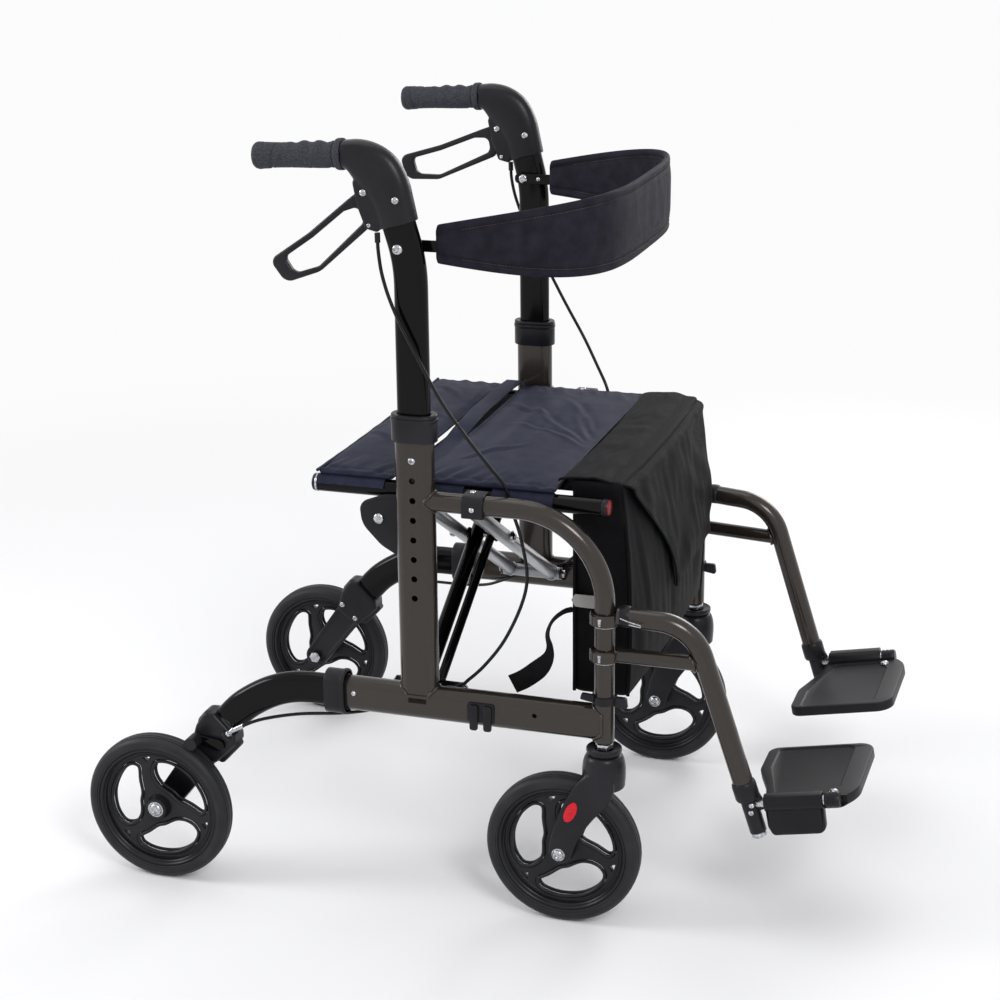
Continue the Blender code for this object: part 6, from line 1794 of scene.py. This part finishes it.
def bag_flap():
    """Top flap: from the bag's rear edge over its top, down the front to a slanted point."""
    lift = 0.0012
    stations = [(0.169, BAG_Z[1] - 0.003), (0.1715, BAG_Z[1] - 0.0012), (0.175, BAG_Z[1] - 0.0002),
                (BAG_X[0], BAG_Z[1] + lift), (BAG_X[0] + 0.022, BAG_Z[1] + lift + 0.0012),
                (BAG_X[0] + 0.035, BAG_Z[1] + lift + 0.0012)]
    for w in np.linspace(1.0, -0.42, 46)[2::3]:
        x, z = bag_front(0, w), bag_height(w)
        bulge = 0.006 if w < 0.9 else 0.003 + 0.003 * (1 - w) / 0.1
        stations.append((x + bulge - 0.006, z + lift * (1 if w > 0.98 else 0.4)))
    line = smooth_line([(x, 0, z) for x, z in stations], 0.004)
    spans = distances(line)
    total = spans[-1]
    count = 72
    bm = bmesh.new()
    grid, right_edge = [], []
    for p, run in zip(line, spans):
        t = run / total
        wide = FLAP_HALF - (0.185 * smoothstep(0.22, 1.0, t) ** 0.85 if t > 0.22 else 0)
        bow = 0.006 * (1 - (wide / FLAP_HALF) ** 2)
        right_edge.append((p.x + bow + 0.0016 * smoothstep(0.3, 0.5, t), -wide, p.z + 0.0004))
        made = []
        for v in np.linspace(-1, 1, count):
            y = v * FLAP_HALF if v > 0 else v * wide
            bow = 0.006 * (1 - (y / FLAP_HALF) ** 2)
            fold = noise.noise(Vector((p.z * 16, y * 17, 2.0)))
            sharp = noise.noise(Vector((p.z * 40 + y * 22, y * 9, 7.0)))
            ripple = noise.noise(Vector((p.z * 12 + y * 6, y * 48 + p.z * 18, 4.0)))
            rumple = noise.noise(Vector((p.x * 70, y * 26, 9.0)))
            out = (0.0044 * fold + 0.0022 * sharp + 0.0026 * ripple) * smoothstep(0.2, 0.45, t)
            edge = smoothstep(0.85, 1.0, abs(v)) * smoothstep(0.3, 0.5, t)
            on_top = (1 - smoothstep(0.15, 0.35, t)) * smoothstep(0.0, 0.06, t)
            made.append(bm.verts.new((p.x + bow + max(out, -0.0022) + 0.0016 * edge, y,
                                      p.z + (0.0016 * fold + 0.0022 * abs(rumple)) * on_top)))
        grid.append(made)
    for a, b in zip(grid, grid[1:]):
        for i in range(count - 1):
            bm.faces.new((a[i], a[i + 1], b[i + 1], b[i]))
    mesh = bpy.data.meshes.new("Bag_flap")
    bm.to_mesh(mesh)
    bm.free()
    sheet = as_object("Bag_flap", mesh, 60)
    solid = sheet.modifiers.new("thickness", "SOLIDIFY")
    solid.thickness = 0.0016
    solid.offset = 1.0
    sheet = applied(sheet)
    smooth_twice(sheet)
    place(sheet, SLUNG, BAG_CLOTH, "bag_flap")
    place(tube("Flap_binding_right", right_edge, 0.0016, 4), SLUNG, BAG_CLOTH)


def strap_station(t):
    """Where the back strap's middle runs at t, from the right arm at 0 to the left at 1."""
    a = pi * t
    c = abs(cos(a)) ** STRAP_SQUARE * (1 if cos(a) > 0 else -1)
    deep = STRAP_DEEP * max(0.0, sin(a)) ** (STRAP_SQUARE * 1.25)
    return Vector((STRAP_START_X + deep, -STRAP_BAR_Y * c, 0))


def strap_frame(t):
    """Middle, outward direction, height and mid height of the back strap at t."""
    here = strap_station(t)
    ahead = strap_station(min(1, t + 0.004)) - strap_station(max(0, t - 0.004))
    side = Vector((ahead.y, -ahead.x, 0)).normalized()
    deep = min(1.0, (here.x - STRAP_START_X) / 0.19)
    deep = 1 - (1 - deep) ** 1.25
    tall = STRAP_TALL[0] + (STRAP_TALL[1] - STRAP_TALL[0]) * deep
    middle = STRAP_PIVOT[1] + 0.003 + 0.007 * deep
    return here, side, tall, middle


def strap_times(step):
    """Values of t at even distances along the strap."""
    fine = np.linspace(0, 1, 1200)
    spans = distances([strap_station(t) for t in fine])
    wanted = np.linspace(0, spans[-1], int(spans[-1] / step))
    return list(np.interp(wanted, spans, fine))


def back_strap():
    """Padded back band with hemmed edges, a seam line along each hem and small ripples, a little fuller
    near each arm.
    """
    rings = []
    for t in strap_times(0.0045):
        here, side, tall, middle = strap_frame(t)
        ring = []
        for h in np.linspace(-0.93, 0.93, 26):
            from_edge = (1 - abs(h)) * tall / 2
            puff = 1 - 0.55 * np.exp(-((from_edge - STRAP_HEM) / 0.0022) ** 2)
            swell = 1 + 0.3 * smoothstep(0.012, 0.03, from_edge)
            ring.append((puff * swell if from_edge > 0.003 else 0.72, h))
        pocket = 0.0012 * smoothstep(0.075, 0.05, here.x)
        faces = [[here + side * (face * (0.0038 + pocket) * a) + Vector((0, 0, middle + tall / 2 * b))
                  for a, b in ring[::face]] for face in (1, -1)]
        edges = [[here + side * (face * 0.0018) + Vector((0, 0, middle + end * tall / 2))
                  for face in (end, -end)] for end in (1, -1)]
        rings.append(faces[0] + edges[0] + faces[1] + edges[1])
    band = loft("Back_strap", rings, 70)
    for vert in band.data.vertices:
        here = vert.co
        ripple = noise.noise(Vector((here.x * 13, here.y * 13, here.z * 9)))
        small = noise.noise(Vector((here.x * 55, here.y * 55, here.z * 22)))
        vert.co += Vector((vert.normal.x, vert.normal.y, 0)) * (0.0011 * ripple + 0.0004 * small)
    smooth_twice(band)
    place(band, "strap_right", STRAP_CLOTH, "back_strap")
    for tag, face in (("outer", 1), ("inner", -1)):
        for edge, sign in (("top", 1), ("foot", -1)):
            stitches(tag + "_" + edge, face, sign)


def stitches(tag, face, sign):
    """Row of thread stitches sunk in a hem's seam line."""
    verts, faces = [], []
    usable = [t for t in strap_times(0.0042) if 0.02 < t < 0.98]
    for a, b in zip(usable, usable[1:]):
        ends = []
        for t in (a, a + (b - a) * 0.68):
            here, side, tall, middle = strap_frame(t)
            z = middle + sign * (tall / 2 - STRAP_HEM)
            ends.append(here + side * (face * 0.003) + Vector((0, 0, z)))
        along = (ends[1] - ends[0]).normalized()
        out = side * face
        across = along.cross(out) * 0.0004
        base = len(verts)
        for p, high in zip((ends[0], (ends[0] + ends[1]) / 2, ends[1]), (0.0001, 0.0007, 0.0001)):
            verts += [p + out * high + across, p + out * (high + 0.0003), p + out * high - across,
                      p - out * 0.0004]
        for k in (base, base + 4):
            for i in range(4):
                j = (i + 1) % 4
                faces.append((k + i, k + j, k + 4 + j, k + 4 + i))
        faces.append((base, base + 3, base + 2, base + 1))
        faces.append((base + 8, base + 9, base + 10, base + 11))
    mesh = bpy.data.meshes.new("Strap_stitches_" + tag)
    mesh.from_pydata([tuple(v) for v in verts], [], faces)
    place(as_object("Strap_stitches_" + tag, mesh), "strap_right", THREAD)


def strap_arm(side, s):
    """Flat bar from the handle's bolt to the strap, with its sleeve plate, screw and bolts."""
    x, z = STRAP_PIVOT
    y = s * STRAP_BAR_Y
    body = "strap_" + side
    tall = 0.014
    flat = plate("flat", rounded([(x - 0.012, z - tall / 2, 0.006), (x + 0.072, z - tall / 2, 0.003),
                                  (x + 0.072, z + tall / 2, 0.003), (x - 0.012, z + tall / 2, 0.006)], 8),
                 0.003, "Y", (0, y, 0), (), 0.0007)
    nearest = handle_y(z - 0.007) - HANDLE_WIDE / 2 - GAP / 2
    boss = bar("boss", (x, s * nearest, z), (x, s * 0.235, z), 0.007, 0.0006, 32)
    place(combined("Strap_arm_" + side, flat, boss), body, BLACK_PAINT, "strap_arm_" + side)
    place(bolt("Strap_bolt_inner_" + side, (x, s * 0.2352, z), (0, -s, 0), 0.0062, 0.003), body, STEEL)
    out = s * (handle_y(z) + HANDLE_WIDE / 2 - 0.0004)
    place(bolt("Strap_bolt_outer_" + side, (x, out, z), (0, s, 0), 0.0068, 0.004, True),
          "handle_" + side, STEEL)
    place(bolt("Strap_rivet_" + side, (x + 0.022, s * 0.2353, z), (0, -s, 0), 0.003, 0.0016, False), body,
          STEEL)


def loose_strap():
    """Loose webbing end that hangs from the bag's near side and turns flat as it falls."""
    path = smooth_line([(0.187, -0.206, 0.403), (0.176, -0.211, 0.4), (0.163, -0.215, 0.388),
                        (0.157, -0.216, 0.37), (0.16, -0.216, 0.354), (0.158, -0.216, 0.34),
                        (0.147, -0.217, 0.324), (0.128, -0.218, 0.308), (0.112, -0.219, 0.299)], 0.004)
    rings = []
    for k, p in enumerate(path):
        t = k / (len(path) - 1)
        wide = 0.005 + 0.0075 * smoothstep(0.45, 0.75, t)
        before, after = path[max(0, k - 1)], path[min(len(path) - 1, k + 1)]
        along = (after - before).normalized()
        twist = radians(70 * (1 - smoothstep(0.2, 0.6, t)))
        across = Matrix.Rotation(twist, 3, along) @ Vector((-along.z, 0, along.x)).normalized()
        out = along.cross(across)
        rings.append([p + across * u + out * v for u, v in oblong(wide, 0.0008, 0.0006, 3)])
    place(loft("Loose_strap", rings, 60), "outer_arm", WEBBING)


def small_clips(side, s):
    """Two-pronged cable clip on the lower rail and the band clip round the front post."""
    body = side + "_frame"
    outer = FRAME_Y + RAIL_WIDE / 2
    base = plate("base", rounded([(0.067, RAIL_Z - 0.014, 0.003), (0.102, RAIL_Z - 0.014, 0.003),
                                  (0.102, RAIL_Z + 0.012, 0.004), (0.067, RAIL_Z + 0.012, 0.004)], 6),
                 0.003, "Y", (0, s * (outer + 0.0012), 0), (), 0.0008)
    prongs = []
    for x in (0.071, 0.089):
        prong = rounded([(x, RAIL_Z - 0.024, 0.003), (x + 0.01, RAIL_Z - 0.024, 0.003),
                         (x + 0.011, RAIL_Z + 0.01, 0.004), (x - 0.001, RAIL_Z + 0.01, 0.004)], 6)
        prongs.append(plate("prong", prong, 0.005, "Y", (0, s * (outer + 0.004), 0), (), 0.0012))
    place(combined("Cable_clip_" + side, base, *prongs), body, PLASTIC)
    band = turned("band", [(TUBE_R - 0.0001, -0.005), (TUBE_R + 0.002, -0.005), (TUBE_R + 0.0026, 0),
                           (TUBE_R + 0.002, 0.005), (TUBE_R - 0.0001, 0.005)],
                  Matrix.Translation((CASTER_X, s * FRAME_Y, 0.308)), 48, True)
    tab = plate("tab", rounded([(-0.006, -0.006, 0.002), (0.012, -0.009, 0.003), (0.01, 0.006, 0.003),
                                (-0.006, 0.006, 0.002)], 6), 0.007, "Y",
                (CASTER_X + 0.018, s * FRAME_Y, 0.306), (), 0.0012)
    ear = plate("ear", rounded([(-0.014, -0.002, 0.002), (0.004, -0.005, 0.002), (0.004, 0.005, 0.002),
                                (-0.012, 0.006, 0.002)], 6), 0.006, "Y",
                (CASTER_X - 0.014, s * (FRAME_Y + 0.01), 0.311), (), 0.0012)
    place(combined("Band_clip_" + side, band, tab, ear), body, PLASTIC)


# Camera, light and floor

def camera_turn():
    """The camera's turn: heading from +Y, tilt down and roll, as solved from the photograph."""
    heading, down, roll = CAMERA_TURN
    look = Vector((-sin(heading) * cos(down), cos(heading) * cos(down), -sin(down)))
    level = Vector((cos(heading), sin(heading), 0))
    lift = level.cross(look)
    right = level * cos(roll) + lift * sin(roll)
    up = lift * cos(roll) - level * sin(roll)
    return Matrix((right, up, -look)).transposed().to_4x4()


def only_seen(owner):
    """1 for rays from the camera, off a gloss or through glass, so that light stays plain."""
    rays = add(owner, "ShaderNodeLightPath")
    shown = rays.outputs["Is Camera Ray"]
    for kind in ("Is Glossy Ray", "Is Transmission Ray"):
        more = add(owner, "ShaderNodeMath", {0: shown, 1: rays.outputs[kind]}, operation="MAXIMUM")
        shown = more.outputs[0]
    return shown


def studio_floor():
    """White paper sweep: matt, with shadows near the chair, and plain white farther out."""
    mat, shader, position = surface("Seamless white studio floor", 0.65, Specular_IOR_Level=0.2)
    shader.inputs["Base Color"].default_value = (0.95, 0.95, 0.955, 1)
    away = add(mat, "ShaderNodeVectorMath", {0: position}, operation="LENGTH")
    fade = add(mat, "ShaderNodeMapRange", {"Value": away.outputs["Value"], "From Min": FLOOR_FADE[0],
                                           "From Max": FLOOR_FADE[1]}, interpolation_type="SMOOTHSTEP")
    share = add(mat, "ShaderNodeMath", {0: fade.outputs["Result"], 1: only_seen(mat)}, operation="MULTIPLY")
    sweep = add(mat, "ShaderNodeEmission", {"Color": (0.97, 0.97, 0.975, 1), "Strength": 1.0})
    add(mat, "ShaderNodeMixShader", {0: share.outputs[0], 1: shader.outputs[0], 2: sweep.outputs[0]},
        mat.node_tree.nodes["Material Output"].inputs["Surface"])
    bm = bmesh.new()
    bmesh.ops.create_grid(bm, x_segments=8, y_segments=8, size=30)
    mesh = bpy.data.meshes.new("floor")
    bm.to_mesh(mesh)
    bm.free()
    floor = bpy.data.objects.new("floor", mesh)
    bpy.context.scene.collection.objects.link(floor)
    floor.data.materials.append(mat)


def stage():
    """Camera, plain light and white floor of the photograph."""
    scene = bpy.context.scene
    lens = bpy.data.cameras.new("camera")
    lens.lens = CAMERA_LENS_MM
    lens.sensor_width = 36
    lens.clip_start = 0.05
    camera = bpy.data.objects.new("camera", lens)
    camera.matrix_world = Matrix.Translation(CAMERA_AT) @ camera_turn()
    scene.collection.objects.link(camera)
    scene.camera = camera
    scene.view_settings.view_transform = "Standard"
    studio_floor()

    world = bpy.data.worlds.new("studio")
    world.use_nodes = True
    background = world.node_tree.nodes["Background"]
    background.inputs["Color"].default_value = (0.98, 0.98, 1.0, 1)
    add(world, "ShaderNodeMapRange", {"Value": only_seen(world), "To Min": ROOM_LIGHT, "To Max": 1.0},
        background.inputs["Strength"])
    scene.world = world
    for name, at, size, power in LAMPS:
        data = bpy.data.lights.new(name, "AREA")
        data.size = size
        data.energy = power
        lamp = bpy.data.objects.new(name, data)
        aim = (Vector((0, 0, 0.45)) - Vector(at)).to_track_quat("-Z", "Y")
        lamp.matrix_world = Matrix.Translation(at) @ aim.to_matrix().to_4x4()
        scene.collection.objects.link(lamp)


stage()
for side, s in SIDES:
    for make in (main_post, lower_rail, front_frame, post_collar, rail_clip, rear_leg, rear_shank,
                 rear_axle, brake_shoe):
        make(side, s)
    wheel_and_tyre("rear", side, REAR_AXLE_X, s * REAR_WHEEL_Y)
    wheel_and_tyre("caster", side, CASTER_X - CASTER_TRAIL, s * FRAME_Y)
    for make in (caster, handle_tube, handle_housing, grip, brake_lever, brake_cable, hanger,
                 foot_bracket, footplate, strap_arm, small_clips):
        make(side, s)
cross_arm("cross_arm_inner", "inner_arm", -1, INNER_ARM_X, (0.01, 0.006), BLACK_PAINT)
cross_arm("cross_arm_outer", "outer_arm", 1, OUTER_ARM_X, (0.009, 0.01), GREY_PAINT)
cross_bolt()
seat_rail("left", 1, "inner_arm")
seat_rail("right", -1, "outer_arm")
seat_pad("seat_pad_rear", (-0.143, -0.034), 11.0)
seat_pad("seat_pad_front", (-0.012, 0.174), 4.0)
pad_sleeves()
fold_strap()
bag()
bag_flap()
loose_strap()
back_strap()
for piece in list(bpy.data.objects):
    if piece.name == "Back_strap" or piece.name.startswith("Strap_stitches"):
        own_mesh(piece)
